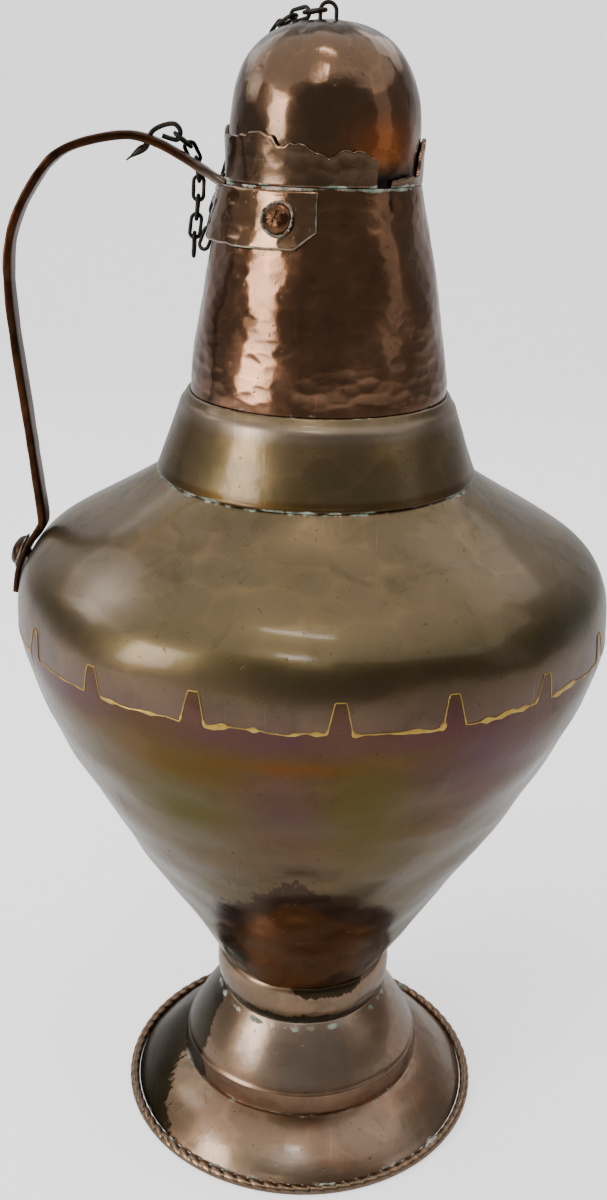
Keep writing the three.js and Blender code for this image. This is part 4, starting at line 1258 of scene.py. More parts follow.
@dataclass
class Foot:
    """The milled bead, the flared dish, the stepped cone and the waist collar.

    The waist stands a little higher than in the frame, as in the photograph.
    """

    lines: Lines
    notches: int = 82
    notch_depth: float = 0.55
    notch_slant: float = 1.6
    dish_bulge: float = 5.2
    cone_bulge: float = 2.2
    cone_top: float = 46.8
    cone_tuck: float = 10.6
    waist_rise: float = 5.0
    waist_wall: float = 2.2
    # Painted highlight on the dish's front.
    glint: Patch = Patch(-93.0, 8.0, 11.0, 5.0)
    shadow_middle: float = 150.0
    shadow_reach: float = 62.0
    shadow_soft: float = 24.0

    def bead(self) -> Piece:
        """Make the rope-like bead round the rim.

        Formula: a round section carried round the axis, whose upper half is cut by slanting notches, a
        raised cosine of the azimuth plus a share of the section's own angle.

        Returns:
            The object.
        """
        half = self.lines.bead / 2
        azimuth = around(self.notches * 10)[None, :]
        turn = around(22)[:, None]
        wave = 0.5 - 0.5 * np.cos(azimuth * self.notches + turn * self.notch_slant)
        upper = np.clip(np.sin(turn) * 1.6 + 0.5, 0.0, 1.0)
        uneven = 0.75 + 0.5 * speckle(azimuth, turn * 4.0, seed=71, size=8.0, radius=100.0)
        reach = half - self.notch_depth * wave**3 * upper * uneven
        radius = self.lines.foot_radius - half + reach * np.cos(turn)
        height = np.maximum(half * 0.81 + reach * np.sin(turn), 0.0)
        grid = np.stack([radius * np.cos(azimuth), radius * np.sin(azimuth), height], axis=-1)
        inside = near(np.sin(turn) - np.cos(turn), 1.2, 0.5)
        crust = inside * ramp(speckle(azimuth, turn * 4.0, seed=73, size=14.0, radius=100.0), 0.5, 1.0)
        # Painted shade: the notches are darkened.
        marks = {"ridge": (1.0 - wave) * upper, "crust": crust, "shade": wave**2 * upper * 0.45}
        return make_piece("rim_bead", grid, (True, True), marks)

    def dish(self) -> Shell:
        """The flared dish with its ledge, from the bead up to the step.

        Returns:
            The shell.
        """
        g = self.lines
        low = (g.foot_radius - g.bead - g.gap, g.bead * 0.45)
        high = (g.step_radius, g.z_step - g.gap)
        middle = ((low[0] + high[0]) / 2, (low[1] + high[1]) / 2 + self.dish_bulge)
        ledge = np.array([[g.step_radius - 1.0, g.z_step + 0.15], [g.step_radius - 6.8, g.z_step - 0.2]])
        outline = np.vstack([bend(low, middle, high), ledge])
        skin = Skin(outline, seed=3, pitch=(13.0, 11.0), depth=0.12, swell=0.3, fade=(4.0, 8.0))
        crusts = [Crust(2.8, 1.6, 0.56), Crust(g.z_step, 0.8, 0.58)]
        return Shell("dish", skin, g.sheet, around(300), rows=64, crusts=crusts)

    def cone(self) -> Shell:
        """The stepped cone, from the ledge up into the waist collar.

        Returns:
            The shell.
        """
        g = self.lines
        foot = (g.step_radius - g.step_ledge, g.z_step)
        crease = (foot[0] - 1.6, g.z_band)
        top = (self.cone_top, g.z_waist - g.gap + self.waist_rise)
        middle = ((crease[0] + top[0]) / 2 + self.cone_bulge, (crease[1] + top[1]) / 2 + self.cone_bulge)
        bore = g.waist_bore - g.gap
        tuck = np.array([[bore, top[1] + 0.1], [bore, g.z_waist + self.cone_tuck]])
        ridge = np.array([(0.9, -1.6), (1.0, -0.4), (-0.1, 0.5)]) + crease
        outline = np.vstack([[foot], ridge, bend(crease, middle, top)[4:], tuck])
        skin = Skin(outline, seed=5, pitch=(12.0, 10.0), depth=0.12, swell=0.25, fade=(0.5, 16.0))
        crusts = [Crust(g.z_step, 1.2, 0.62), Crust(g.z_waist + self.waist_rise - 3.0, 2.0, 0.7)]
        return Shell("cone", skin, g.sheet, around(260), rows=70, crusts=crusts)

    def waist(self) -> Shell:
        """The rounded ring between foot and bowl.

        Returns:
            The shell.
        """
        g = self.lines
        turn = np.linspace(-math.pi / 2, math.pi / 2, 60)
        half = (g.z_waist_top - g.z_waist) / 2
        share = 0.5 + 0.5 * np.sin(turn)
        radius = g.waist_edge - 1.2 + 1.4 * share + 3.8 * np.cos(turn)
        outline = np.stack([radius, g.z_waist + self.waist_rise + 2.0 * half * share], axis=1)
        skin = Skin(outline, seed=8, pitch=(12.0, 11.0), depth=0.22, swell=0.5, fade=(2.0, 2.0))
        low, high = g.z_waist + self.waist_rise, g.z_waist_top + self.waist_rise
        crusts = [Crust(low, 1.6, 0.78), Crust(high, 1.0, 0.3)]
        return Shell("waist", skin, self.waist_wall, around(220), rows=30, crusts=crusts)

    def shadow(self, azimuth: Array, arc: Array, start: float, lean: float) -> Array:
        """How far inside the painted dark reflection on the foot's left each point is.

        Formula: the distance in degrees from the patch's nearer edge, which leans with the arc length,
        over the patch's softness, with one half on the edge itself.

        Args:
            azimuth: angles in radians.
            arc: arc lengths in millimetres.
            start: the patch's front edge, in degrees.
            lean: how many degrees the front edge moves back over 30 mm of arc.

        Returns:
            Values from zero to one.
        """
        front = turn_gap(azimuth, start) + lean * arc / 30.0
        back = turn_gap(azimuth, self.shadow_middle) + self.shadow_reach
        return np.clip(0.5 + np.minimum(-front, back) / self.shadow_soft, 0.0, 1.0)

    def build(self, materials: Materials) -> None:
        """Build and dress every piece of the foot.

        Args:
            materials: the materials by name.
        """
        g = self.lines
        jug = Body.JUG.value
        copper = materials["foot"]
        place(self.bead(), jug, ["foot_rim_bead"], copper)
        dish = self.dish()
        azimuth, arc, _ = dish.spots()
        wash = ramp(speckle(azimuth, arc, seed=12, size=22.0, radius=85.0), 0.625, 1.25) * 0.5
        # Painted highlight: the glint patch at the dish's front; the wash is a paler mottle.
        pale = np.maximum(wash, self.glint.at(azimuth, arc))
        # Painted reflection: a dark jagged patch on the dish's left.
        marks = {"pale": pale, "shade": self.shadow(azimuth, arc, -137.0, 25.0)}
        place(dish.build(marks), jug, ["foot_dish"], copper)
        cone = self.cone()
        azimuth, arc, _ = cone.spots()
        band = ramp(arc, g.z_band - g.z_step, 0.0) ** 0.3 * 0.45
        # Painted light: the cone's front is made paler; its left takes the painted dark reflection.
        front = beside(azimuth, -88.0, 34.0) * ramp(arc, 14.0, 20.0) * 0.6
        marks = {"amber_and_reflection": band, "pale": front, "shade": self.shadow(azimuth, arc, -141.0, 10.0)}
        place(cone.build(marks), jug, ["foot_cone"], copper)
        waist = self.waist()
        azimuth, arc, _ = waist.spots()
        share = arc / waist.skin.length
        # Painted reflections: the waist is darkened low down, and at its top on the front right under the
        # bowl's dark patch.
        lower = 0.5 + (0.3 - share) * 2.5
        upper = (0.5 + (share - 0.74) * 3.0) * np.clip(beside(azimuth, -72.0, 22.0) * 1.6, 0.0, 1.0)
        marks = {"shade": np.maximum(lower, upper)}
        place(waist.build(marks), jug, ["waist_collar"], copper)


@dataclass
class Seam:
    """The cramped seam: tabs of the lower bowl keyed into the shoulder, run with brass."""

    lines: Lines
    tabs: int = 17
    phase: float = -87.0
    base: float = 12.0
    top: float = 4.6
    height: float = 14.5
    shifts: tuple[float, ...] = (2.0, 0.2, -1.0, -0.4, -1.1)

    def centres(self) -> Array:
        """Azimuths of the tabs in degrees, spaced unevenly round the front as in the photograph.

        Returns:
            One azimuth for each tab.
        """
        steps = np.arange(self.tabs, dtype=float)
        uneven = np.random.default_rng(17).uniform(-0.9, 0.9, self.tabs)
        for step, shift in zip((0, 1, 2, self.tabs - 2, self.tabs - 1), self.shifts):
            uneven[step] = shift
        return self.phase + steps * 360.0 / self.tabs + uneven

    def azimuths(self) -> Array:
        """Azimuths of the grid's columns in radians, with columns on every corner of every tab.

        Returns:
            The azimuths, in rising order.
        """
        half_base = math.degrees(self.base / 2 / self.lines.belly)
        half_top = math.degrees(self.top / 2 / self.lines.belly)
        side = np.linspace(half_top, half_base, 6)
        local = np.concatenate([-side[::-1], [-half_top / 3, half_top / 3], side])
        centres = np.sort(self.centres())
        spans = np.diff(np.append(centres, centres[0] + 360.0))
        columns = []
        for centre, span in zip(centres, spans):
            gap = np.linspace(half_base, span - half_base, 14)[1:-1]
            columns.append(centre + np.concatenate([local, gap]))
        return np.sort(np.radians(np.concatenate(columns)) % TURN)

    def edge(self, azimuth: Array) -> Array:
        """Heights of the seam.

        Formula: the belly's widest ring, with a slight waver, plus a trapezoid at each tab whose size
        varies a little from tab to tab.

        Args:
            azimuth: angles in radians.

        Returns:
            Heights in millimetres.
        """
        sizes = np.random.default_rng(23).uniform(0.88, 1.12, self.tabs)
        heights = np.zeros_like(azimuth)
        for centre, size in zip(self.centres(), sizes):
            across = np.abs(np.radians(turn_gap(azimuth, centre))) * self.lines.belly
            share = np.clip((self.base / 2 - across) / (self.base / 2 - self.top / 2), 0.0, 1.0)
            share = 0.5 * share + 0.5 * smooth(share)
            heights = np.maximum(heights, share * self.height * size)
        waver = ripple(azimuth, seed=29, size=7.0, radius=self.lines.belly) - 0.5
        slow = np.sin(azimuth * 3 + 0.6) * 0.5
        return self.lines.z_seam + heights + waver * 1.7 * (heights < 0.5) + slow


@dataclass
class Belly:
    """The lower bowl, the shoulder, the brass in their seam, and the neck band."""

    lines: Lines
    seam: Seam
    right_violet: Patch = Patch(-54.0, 20.0, 288.0, 34.0)
    middle_violet: Patch = Patch(-95.0, 9.0, 262.0, 30.0)
    front_amber: Patch = Patch(-95.0, 12.0, 290.0, 4.0)
    left_amber: Patch = Patch(-117.0, 9.0, 282.0, 12.0)
    left_olive: Patch = Patch(-116.0, 14.0, 254.0, 34.0)
    right_olive: Patch = Patch(-78.0, 7.0, 254.0, 34.0)
    painted_highlight: Patch = Patch(-134.0, 7.0, 350.0, 9.0)
    brass_steps: int = 2200
    brass_thin: float = 0.22
    brass_spread: float = 1.7
    brass_half: float = 0.26

    def skin(self) -> Skin:
        """The whole belly's skin, shared so that both halves meet."""
        outline = self.lines.belly_line()
        return Skin(outline, seed=11, pitch=(20.0, 16.0), depth=0.26, swell=0.7, fade=(60.0, 10.0))

    def bowl_marks(self, azimuth: Array, height: Array) -> Marks:
        """Heat tints of the lower bowl, painted light low down, and the painted dark reflection of the foot
        over the waist.

        Formula: soft bands of height times soft spots of azimuth, broken up by value noise.

        Args:
            azimuth: angles in radians.
            height: heights in millimetres.

        Returns:
            Values from zero to about one, by attribute name.
        """
        broad = speckle(azimuth, height, seed=41, size=46.0, radius=130.0)
        fine = speckle(azimuth, height, seed=43, size=15.0, radius=130.0)
        rim = ramp(height, 288.0, 302.0) * 0.8
        middle = self.middle_violet.at(azimuth, height) * 0.7
        spots = np.maximum(self.right_violet.at(azimuth, height), middle)
        violet = ramp(height, 330.0, 316.0) * np.maximum(spots, rim) * (0.5 + 0.6 * broad)
        spots = np.maximum(self.front_amber.at(azimuth, height), self.left_amber.at(azimuth, height))
        amber_and_reflection = spots * (0.3 + 0.7 * fine) + 0.2 * fine * (height < 250.0)
        spots = np.maximum(self.left_olive.at(azimuth, height), self.right_olive.at(azimuth, height))
        olive = spots * (0.6 + 0.6 * fine)
        # Painted light: the lower bowl grows paler towards the foot.
        pale = ramp(height, 240.0, 180.0) * (0.5 + 0.5 * fine)
        # Painted reflection: the foot's dark reflection, a jagged patch low on the bowl's front, with a
        # paler, redder core.
        front = beside(azimuth, -91.0, 30.0)
        top = 190.0 + 17.0 * beside(azimuth, -93.0, 9.0) - 26.0 * (1.0 - front)
        shade = ramp(height, top + 23.0, top - 23.0) * np.clip(front * 2.4, 0.0, 1.0)
        reflection_and_red_lip = ramp(height, top - 16.0, top - 23.0) * np.clip(front * 4.0 - 0.9, 0.0, 1.0)
        return {"violet": violet, "amber_and_reflection": amber_and_reflection, "olive": olive, "pale": pale, "shade": shade, "reflection_and_red_lip": reflection_and_red_lip}

    def build(self, materials: Materials) -> None:
        """Build and dress the belly's pieces.

        Args:
            materials: the materials by name.
        """
        g = self.lines
        jug = Body.JUG.value
        skin = self.skin()
        azimuths = self.seam.azimuths()
        edge = self.seam.edge(azimuths)
        crusts = [Crust(g.z_waist_top + 6.0, 1.8, 0.3)]
        bowl = Shell("bowl", skin, g.sheet, azimuths, rows=150, high=edge, crusts=crusts)
        azimuth, _, height = bowl.spots()
        marks = self.bowl_marks(azimuth, height)
        place(bowl.build(marks), jug, ["lower_bowl"], materials["bowl"])
        crusts = [Crust(g.z_shoulder, 1.2, 0.75)]
        shoulder = Shell("shoulder_bowl", skin, g.sheet, azimuths, rows=90, low=edge + 0.15, crusts=crusts)
        azimuth, _, height = shoulder.spots()
        # Painted shade: a darker band low on the shoulder, strongest at the front right.
        low = near(height, 336.0, 12.0) * (0.35 + 0.45 * beside(azimuth, -60.0, 25.0))
        violet = ramp(height, 336.0, 310.0) * 0.5
        # Painted highlight: a pale patch on the shoulder's left.
        marks = {"violet": violet, "shade": low, "pale": self.painted_highlight.at(azimuth, height) * 0.8}
        place(shoulder.build(marks), jug, ["shoulder"], materials["shoulder"])
        place(self.brass(skin), jug, [], materials["brass"])
        band = self.band()
        _, _, height = band.spots()
        # Painted highlight along the band's upper ledge; the band grows darker and redder at its foot.
        lip = ramp(height, height[0] + 5.5, height[0] + 3.5)
        marks = {"shade": lip * 0.85, "pale": near(height, g.z_band_top, 3.5) * 0.5, "reflection_and_red_lip": lip * 0.25}
        place(band.build(marks), jug, ["neck_band"], materials["shoulder"])

    def brass(self, skin: Skin) -> Piece:
        """Run the thin irregular line of brass along the seam.

        Formula: a flat ellipse carried along the seam's edge on the belly's skin; value noise along the
        line sets its width.

        Args:
            skin: the belly's skin.

        Returns:
            The object.
        """
        azimuth = self.seam.azimuths()
        spots, _ = skin.at(azimuth, skin.arc_of(self.seam.edge(azimuth)), 0.08)
        loop = even(np.vstack([spots, spots[:1]]), self.brass_steps + 1)[:-1]
        turn = np.arctan2(loop[:, 1], loop[:, 0])
        ups = skin.normal(turn, skin.arc_of(loop[:, 2]))
        along = around(self.brass_steps)
        low = np.maximum(ramp(loop[:, 2] - self.lines.z_seam, 3.5, 1.5), 0.06)
        blots = ripple(along, seed=53, size=4.0, radius=190.0) ** 2
        width = self.brass_thin + self.brass_spread * low * blots
        sizes = np.stack([width, np.full_like(width, self.brass_half)], axis=1)
        return sweep("seam_brass", loop, ups, sizes, sides=8, ring=True)

    def band(self) -> Shell:
        """The plain conical band at the root of the neck, with its rounded upper ledge.

        Returns:
            The shell.
        """
        g = self.lines
        lean = math.radians(g.shoulder_lean)
        foot = (g.shoulder_top + 0.5 * math.sin(lean), g.z_shoulder + 0.4 * math.cos(lean))
        lip = (foot[0] + 0.5, foot[1] + 1.2)
        top = (g.band_top, g.z_band_top)
        rim = [(top[0] + 0.5, top[1] - 1.5), (top[0] - 0.2, top[1] + 1.6), (top[0] - 2.0, top[1] + 3.2)]
        ledge = np.array([[g.neck_root + 1.6, g.z_neck - 0.3], [g.neck_root + 0.25, g.z_neck - 0.35]])
        outline = np.vstack([foot, lip, [(foot[0] - 0.3, foot[1] + 3.0)], bend(*rim, 20), ledge])
        skin = Skin(outline, seed=13, pitch=(15.0, 13.0), depth=0.2, swell=0.45, fade=(4.0, 9.0))
        crusts = [Crust(g.z_shoulder + 0.6, 1.4, 0.85), Crust(g.z_neck, 1.3, 0.6)]
        return Shell("band", skin, g.sheet, around(280), rows=60, crusts=crusts)


@dataclass
class Neck:
    """The hammered neck, its torn mouth collar and the saddle that wraps it at the handle.

    The edge lists azimuths in degrees with the torn collar's heights over its foot.
    """

    lines: Lines
    saddle_half: float = 87.0
    saddle_thickness: float = 1.8
    saddle_top_drop: float = 1.5
    saddle_height: float = 25.5
    saddle_middle: float = 180.0
    saddle_cut: Point = (11.0, 8.0)
    skin_radius: float = 50.0
    edge: tuple[Point, ...] = (
        (-49, 3), (-40, 4.5), (-22, 4.5), (-15, 15), (-2, 20), (12, 17), (28, 23), (44, 18), (62, 24),
        (80, 19), (98, 25), (116, 20), (134, 26), (152, 21), (170, 24), (188, 20), (208, 20.5),
        (218, 21), (230, 23.5), (239, 22), (244, 17), (251, 18.5), (259, 18), (266, 14.5),
        (274, 13), (281, 16), (292, 15.5), (297, 13), (301, 11.5),
    )

    def __post_init__(self) -> None:
        """Make the neck's skin, which the saddle follows too."""
        outline = self.lines.neck()
        self.skin = Skin(outline, seed=19, pitch=(7.6, 5.4), depth=0.33, swell=0.65, fade=(5.0, 5.0))

    def standoff(self, azimuth: Array) -> Array:
        """How far the saddle stands off the neck: most behind the handle."""
        return self.lines.gap + 1.5 * np.cos(azimuth - math.pi) ** 2

    def cone(self) -> Shell:
        """The hammered neck, from its band up to the mouth.

        Returns:
            The shell.
        """
        g = self.lines
        crusts = [Crust(g.z_mouth, 2.0, 0.85), Crust(g.z_neck + 0.6, 1.4, 0.5)]
        return Shell("neck", self.skin, g.sheet, around(330), rows=120, crusts=crusts)

    def mouth(self) -> Shell:
        """The mouth's turned-in lip.

        Returns:
            The shell.
        """
        g = self.lines
        outline = np.array([[g.neck_top - 0.8, g.z_mouth - 0.1], [g.mouth, g.z_mouth - 0.1]])
        return Shell("mouth_lip", Skin(outline, seed=20), g.sheet, around(160), rows=8)

    def collar(self) -> Shell:
        """The torn, scalloped strip round the lid's foot.

        Formula: its upper edge runs through the listed heights with raised cosines between them, plus
        fine value noise; the tops of its lobes lean outwards.

        Returns:
            The shell.
        """
        g = self.lines
        azimuths = np.radians(np.linspace(self.edge[0][0], self.edge[-1][0], 420))
        knots = np.radians([angle for angle, _ in self.edge])
        tops = np.array([height for _, height in self.edge])
        spot = np.clip(np.searchsorted(knots, azimuths) - 1, 0, len(knots) - 2)
        share = ramp(azimuths, knots[spot], knots[spot + 1])
        height = tops[spot] + (tops[spot + 1] - tops[spot]) * (1 - np.cos(share * math.pi)) / 2
        height = height + (ripple(azimuths, seed=61, size=2.2, radius=g.collar) - 0.5) * 1.3
        foot = g.z_mouth + g.gap
        outline = np.array([[g.collar, foot], [g.collar, foot + 30.0]])
        skin = Skin(outline, seed=23, pitch=(8.0, 7.0), depth=0.2, swell=0.25, fade=(0.5, 0.0))
        rows = 26
        reach = 0.3 + 1.1 * ripple(azimuths, seed=63, size=13.0, radius=g.collar)
        lean = np.linspace(0.0, 1.0, rows)[:, None] ** 2 * reach[None, :]
        return Shell(
            "torn_collar", skin, g.collar_wall, azimuths, rows=rows,
            high=foot + height, lift=lean, ring=False, roll=0.7, crusts=[Crust(foot, 1.8, 0.9)],
        )

    def saddle(self) -> Shell:
        """The plate that wraps the neck behind the handle, with its lower corners cut off.

        Returns:
            The shell.
        """
        g = self.lines
        middle = self.saddle_middle
        azimuths = np.radians(np.linspace(middle - self.saddle_half, middle + self.saddle_half, 230))
        top = g.z_mouth - self.saddle_top_drop
        cut_width, cut_height = self.saddle_cut
        corner = ramp(self.saddle_half - np.abs(np.degrees(azimuths) - middle), cut_width, 0.0)
        ragged = (ripple(azimuths, seed=67, size=6.0, radius=self.skin_radius) - 0.5) * 0.8
        low = top - self.saddle_height + corner * cut_height + ragged
        lift = (self.standoff(azimuths) + self.saddle_thickness)[None, :]
        return Shell(
            "saddle", self.skin, self.saddle_thickness, azimuths, rows=40,
            low=low, high=top + ragged * 0.3, lift=lift, ring=False, roll=0.9,
        )

    def build(self, materials: Materials) -> None:
        """Build and dress the neck's pieces.

        Args:
            materials: the materials by name.
        """
        jug = Body.JUG.value
        cone = self.cone()
        azimuth, arc, _ = cone.spots()
        lap = near(turn_gap(azimuth, -97.0) + 0.02 * arc, 0.0, 0.7) * 0.2
        crack = beside(azimuth, -50.0, 1.4) * ramp(arc, cone.skin.length - 13.0, cone.skin.length - 9.0)
        marks = {"shade": np.maximum(lap, crack)}
        place(cone.build(marks), jug, ["neck_cone"], materials["neck"])
        place(self.mouth().build(), jug, [], materials["neck"])
        place(self.collar().build(), jug, ["mouth_collar"], materials["lid"])
        saddle = self.saddle()
        azimuth, arc, _ = saddle.spots()
        worn = 0.2 + 0.35 * speckle(azimuth, arc, seed=69, size=9.0, radius=self.skin_radius)
        from_end = self.saddle_half - np.abs(np.degrees(azimuth) - self.saddle_middle)
        rim = np.minimum(np.radians(from_end) * self.skin_radius, arc - arc[:1])
        marks = {"pale": worn, "crust": ramp(rim, 2.2, 0.0) * 0.75}
        place(saddle.build(marks), jug, ["neck_saddle"], materials["neck"])
        place(self.root_solder(), jug, [], materials["solder"])

    def root_solder(self) -> Piece:
        """Lay the lumpy solder where the strap meets the saddle.

        Returns:
            The object.
        """
        g = self.lines
        degrees = self.saddle_middle + np.array([-8.6, -8.2, -6.0, 0.0, 6.0, 8.2, 8.6])
        drops = np.array([1.8, 6.0, 9.5, 10.5, 9.5, 6.0, 1.8])
        count = 60
        spots, _ = self.skin.at(np.radians(degrees), self.skin.arc_of(g.z_mouth - drops), 3.5)
        lumps = 0.8 + 0.5 * np.sin(np.linspace(0.0, 26.0, count)) ** 2
        sizes = np.stack([lumps * 1.3, lumps], axis=1)
        outwards = np.array([-1.0, 0.0, 0.25])
        path = smooth_path(spots, count)
        return sweep("root_solder", path, outwards, sizes, sides=10, marks={"crust": lumps * 0.4})


@dataclass
class Lid:
    """The domed lid with its gripping sleeve and wire staple."""

    lines: Lines
    staple_span: float = 7.4
    staple_top: float = 604.1
    staple_half: float = 0.98
    sleeve_wall: float = 1.2

    def dome(self) -> Shell:
        """The hammered dome.

        Returns:
            The shell.
        """
        g = self.lines
        skin = Skin(g.dome(), seed=29, pitch=(6.5, 8.5), depth=0.26, swell=0.4, fade=(5.0, 3.0))
        crusts = [Crust(g.z_crown - 0.4, 1.2, 0.3)]
        return Shell("dome", skin, g.lid_wall, around(300), rows=110, crusts=crusts)

    def sleeve(self) -> Shell:
        """The sleeve inside the dome that grips the mouth.

        Returns:
            The shell.
        """
        g = self.lines
        grip = g.lid - g.lid_wall - g.gap
        bore = g.mouth - 0.5
        outline = np.array([[bore, -18.0], [bore, 1.0], [grip, 2.0], [grip, 12.0]]) + (0.0, g.z_lid)
        skin = Skin(outline, seed=31, swell=0.1)
        return Shell("sleeve", skin, self.sleeve_wall, around(200), rows=30, roll=0.6)

    def staple(self) -> Piece:
        """Bend the wire eye on the crown.

        Returns:
            The object.
        """
        half = self.staple_span / 2
        turn = np.linspace(math.pi, 0.0, 20)
        spring = self.staple_top - half
        arch = np.stack([half * np.cos(turn), turn * 0.0, spring + half * np.sin(turn)], axis=1)
        root = self.lines.z_crown - 4.0
        path = even(np.vstack([[-half, 0.0, root], arch, [half, 0.0, root]]), 60)
        return sweep("staple", path, SIDEWAYS, np.full((60, 2), self.staple_half), sides=12)

    def build(self, materials: Materials) -> None:
        """Build and dress the lid's pieces.

        Args:
            materials: the materials by name.
        """
        lid = Body.LID.value
        dome = self.dome()
        azimuth, arc, _ = dome.spots()
        # Painted highlight: a paler ring a little below the crown.
        ring = near(dome.skin.length - arc, 22.0, 7.0) * 0.45
        # Painted reflection: an orange glow low on the dome's front right.
        glow = beside(azimuth, -52.0, 24.0) * near(arc, 17.0, 13.0) * 0.8
        # Painted shade on the dome's lowest rim, where it sits inside the collar.
        marks = {"pale": ring, "amber_and_reflection": glow, "painted_gap_shade": ramp(arc, 12.0, 4.0)}
        place(dome.build(marks), lid, ["lid_dome"], materials["lid"])
        place(self.sleeve().build(), lid, ["lid_sleeve"], materials["neck"])
        place(self.staple(), lid, ["lid_staple"], materials["iron"])


@dataclass
class Handle:
    """The strap handle with its leaf, the rivets and the hook pin."""

    lines: Lines
    neck: Neck
    low_size: Point = (6.6, 2.3)
    top_size: Point = (6.2, 2.1)
    leaf_size: Point = (12.5, 1.6)
    neck_head: Point = (6.9, 3.6)
    leaf_head: Point = (8.2, 5.2)
    pin_half: float = 1.2
    pin_reach: float = 83.5
    way: tuple[Point, ...] = (
        (-47.7, 523.6), (-65.8, 534.6), (-80.9, 542.2), (-96.0, 544.8), (-124.7, 537.3), (-140.4, 520.1),
        (-150.4, 500.1), (-153.4, 480.1), (-152.1, 450.6), (-147.8, 409.7), (-144.2, 372.7), (-142.5, 354.5),
        (-143.9, 348.8), (-150.5, 339.3), (-155.1, 327.7), (-157.6, 314.6),
    )

    def path(self, count: int) -> Array:
        """The strap's centre line in the X-Z plane.

        Formula: a smooth path through the way's points, its bow smoothed once more by a raised cosine.

        Args:
            count: how many samples.

        Returns:
            An array of shape (count, 3).
        """
        flat = smooth_path([(x, z) for x, z in self.way], 300)
        soft = np.hanning(23) / np.hanning(23).sum()
        first, last = 11, 250
        for axis in (0, 1):
            flat[first:last, axis] = np.convolve(flat[:, axis], soft, "valid")[: last - first]
        flat = even(flat, count)
        return np.stack([flat[:, 0], np.zeros(count), flat[:, 1]], axis=1)

    def strap(self) -> Piece:
        """Sweep the strap.

        Formula: a rounded rectangle whose half width and half height widen down the handle and spread
        into the leaf over its last tenth; value noise wavers both, as hammered edges do.

        Returns:
            The object.
        """
        count = 300
        path = self.path(count)
        tangent = unit(np.gradient(path, axis=0))
        ups = np.stack([-tangent[:, 2], tangent[:, 1], tangent[:, 0]], axis=1)
        share = np.linspace(0.0, 1.0, count)
        taper = ramp(share, 0.0, 0.9)[:, None]
        sizes = np.array(self.top_size) * (1 - taper) + np.array(self.low_size) * taper
        leaf = smooth(ramp(share, 0.88, 0.92))[:, None]
        tip = ramp(share, 0.972, 1.022)[:, None] ** 2
        sizes = sizes * (1 - leaf) + np.array(self.leaf_size) * leaf
        sizes[:, :1] *= 1.0 - 0.75 * tip
        waver = ripple(share * TURN, seed=79, size=9.0, radius=72.0) - 0.5
        sizes[:, 0] += waver * 0.7
        sizes[:, 1] += waver * 0.18
        marks = {
            "ridge": np.clip(0.5 + waver, 0.0, 1.0),
            "crust": near(share, 0.0, 0.01) * 0.5 + near(share, 0.93, 0.05) * 0.42,
            "pale": near(share, 0.0, 0.04) * 0.9,
        }
        return sweep("strap", path, ups, sizes, sides=28, square=5.0, marks=marks)

    def rivet(self, name: str, seat: Array, out: Array, grip: float, seed: int, head: Point) -> Piece:
        """Make a rivet: flattened tail, shank, washer and domed head, with verdigris under the head.

        Args:
            name: the object's name.
            seat: the middle of the head's underside.
            out: the rivet's direction.
            grip: the thickness that it holds together.
            seed: the seed of its dents.
            head: the head's radius and height.

        Returns:
            The object.
        """
        wide, tall = head
        turn = np.linspace(0.0, math.pi / 2, 16)
        dome = np.stack([wide * np.cos(turn) ** 0.8, 0.7 + (tall - 0.6) * np.sin(turn)], axis=1)
        tail = -grip - 1.2
        stem = [(0.0, tail - 1.4), (3.2, tail - 1.4), (4.0, tail), (2.4, tail), (2.4, 0.0)]
        washer = [(wide + 1.2, 0.0), (wide + 1.4, 0.5), (wide + 0.9, 1.0), (wide + 0.2, 0.9)]
        profile = np.vstack([stem, washer, dome])
        crust = np.where(profile[:, 0] > wide - 0.1, 0.62, 0.0) + near(profile[:, 1], tall, 0.3) * 0.1
        ridge = np.clip(profile[:, 1] / tall, 0.0, 1.0) ** 3
        return turned(name, profile, seat, out, 40, seed, {"crust": crust, "ridge": ridge})

    def rivets(self, materials: Materials) -> None:
        """Set the three rivets.

        Args:
            materials: the materials by name.
        """
        jug = Body.JUG.value
        skin = self.neck.skin
        arc = skin.arc_of(self.lines.z_mouth - 13.9)
        for name, angle, seed in (("saddle_rivet_front", 247.0, 5), ("saddle_rivet_back", 113.0, 6)):
            azimuth = np.array(math.radians(angle))
            lift = float(self.neck.standoff(azimuth)) + self.neck.saddle_thickness
            seat, _ = skin.at(azimuth, arc, lift, False)
            grip = lift + self.lines.sheet
            piece = self.rivet(name + "_head", seat, skin.normal(azimuth, arc), grip, seed, self.neck_head)
            place(piece, jug, [name], materials["rivet"])
        out = unit(np.array([-0.931, 0.0, 0.364]))
        seat = np.array([-151.21, 0.0, 333.33]) + out * 3.5
        piece = self.rivet("shoulder_rivet_head", seat, out, 5.1, 7, self.leaf_head)
        place(piece, jug, ["shoulder_rivet"], materials["handle"])

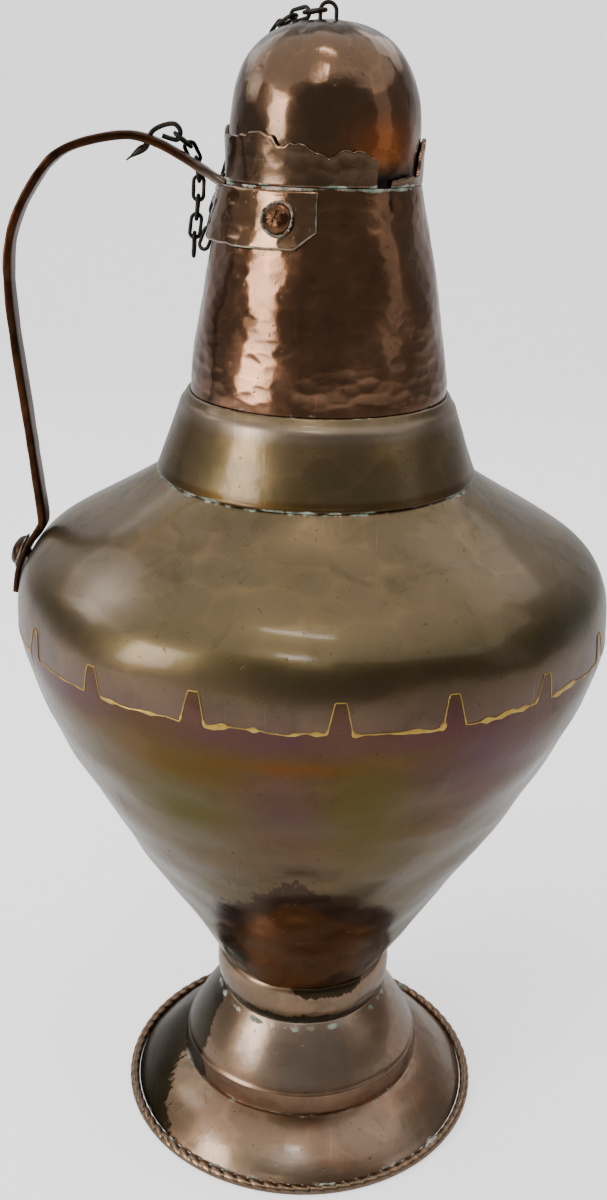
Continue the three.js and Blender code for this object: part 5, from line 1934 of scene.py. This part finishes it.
    def pin(self) -> Piece:
        """Bend the iron pin: a loop above the strap, through it, and a sharp bent point below.

        Formula: a smooth path through points given along the strap and up from it; the wire thins to
        its point over the first fifth, after a swelling.

        Returns:
            The object.
        """
        path = self.path(900)
        spot = int(np.argmin(np.abs(path[:450, 0] + self.pin_reach)))
        centre = path[spot]
        along = -unit(path[spot + 1] - path[spot - 1])
        up = np.array([-along[2], 0.0, along[0]])
        foot = self.top_size[1] + 0.3 + 1.0
        point = [(-7.4, -12.6), (-5.6, -10.1), (-2.6, -6.3), (-0.3, -3.2), (0.0, 1.6)]
        loop = [(1.4, 1.6), (5.4, 5.2), (9.8, 7.0), (13.2, 4.8), (13.0, 0.9), (9.4, 0.2), (5.6, 0.2)]
        spots = point + [(a, foot + b) for a, b in loop]
        count = 130
        wire = smooth_path([centre + along * a + up * b for a, b in spots], count)
        share = np.linspace(0.0, 1.0, count)
        radius = np.clip(share / 0.2, 0.3, 1.0) * self.pin_half + near(share, 0.17, 0.1) * 0.8
        return sweep("pin", wire, SIDEWAYS, np.stack([radius, radius], axis=1), sides=12)

    def build(self, materials: Materials) -> None:
        """Build and dress the handle's pieces.

        Args:
            materials: the materials by name.
        """
        jug = Body.JUG.value
        place(self.strap(), jug, ["handle_strap"], materials["handle"])
        self.rivets(materials)
        place(self.pin(), jug, ["hook_pin"], materials["iron"])


@dataclass
class Chain:
    """The iron chain, link by link, each on its own body."""

    wire: float = 1.0
    bend_radius: float = 2.5
    stretch: float = 3.2

    def link(self, node: Piece, seed: int) -> Piece:
        """Bend one link in place of a frame node.

        Formula: a closed wire of two half circles and two straight sides, laid on the node's two longest
        principal axes.

        Args:
            node: the frame's link.
            seed: the seed of the wire's unevenness.

        Returns:
            The object.
        """
        corners = np.array([vertex.co[:] for vertex in node.data.vertices]) / MM
        centre = corners.mean(axis=0)
        _, _, axes = np.linalg.svd(corners - centre, full_matrices=False)
        long, wide, flat = axes
        turn = around(64)
        x = self.bend_radius * np.cos(turn) + np.sign(np.cos(turn)) * self.stretch
        y = self.bend_radius * np.sin(turn)
        ring = np.stack([x, y], axis=1)
        count = 56
        ring = even(np.vstack([ring, ring[:1]]), count + 1)[:-1]
        path = centre + ring[:, :1] * long + ring[:, 1:] * wide
        radius = self.wire * 0.98 * (1.0 + 0.05 * np.sin(around(count) * 3 + seed))
        name = node.name.split(".")[0] + "_wire"
        return sweep(name, path, flat, np.stack([radius, radius], axis=1), sides=10, ring=True)

    def build(self, nodes: dict[str, Piece], materials: Materials) -> None:
        """Build every link.

        Args:
            nodes: the frame's nodes by name.
            materials: the materials by name.
        """
        for seed, name in enumerate(sorted(key for key in nodes if "_link_" in key)):
            piece = self.link(nodes[name], seed)
            place(piece, name, [name], materials["iron"])


def main() -> None:
    """Build the jug, class by class, and log each piece."""
    logging.basicConfig(level=logging.INFO, format="%(message)s")
    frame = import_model()
    PhotoCamera().build()
    Studio().build()
    groups = {"patina": patina_group(), "verdigris": crust_group(), "scratches": scratch_group()}
    materials = {key: finish.build(groups) for key, finish in FINISHES.items()}
    lines = Lines()
    neck = Neck(lines)
    Foot(lines).build(materials)
    Belly(lines, Seam(lines)).build(materials)
    neck.build(materials)
    Lid(lines).build(materials)
    Handle(lines, neck).build(materials)
    Chain().build(frame["nodes"], materials)


if __name__ == "__main__":
    main()
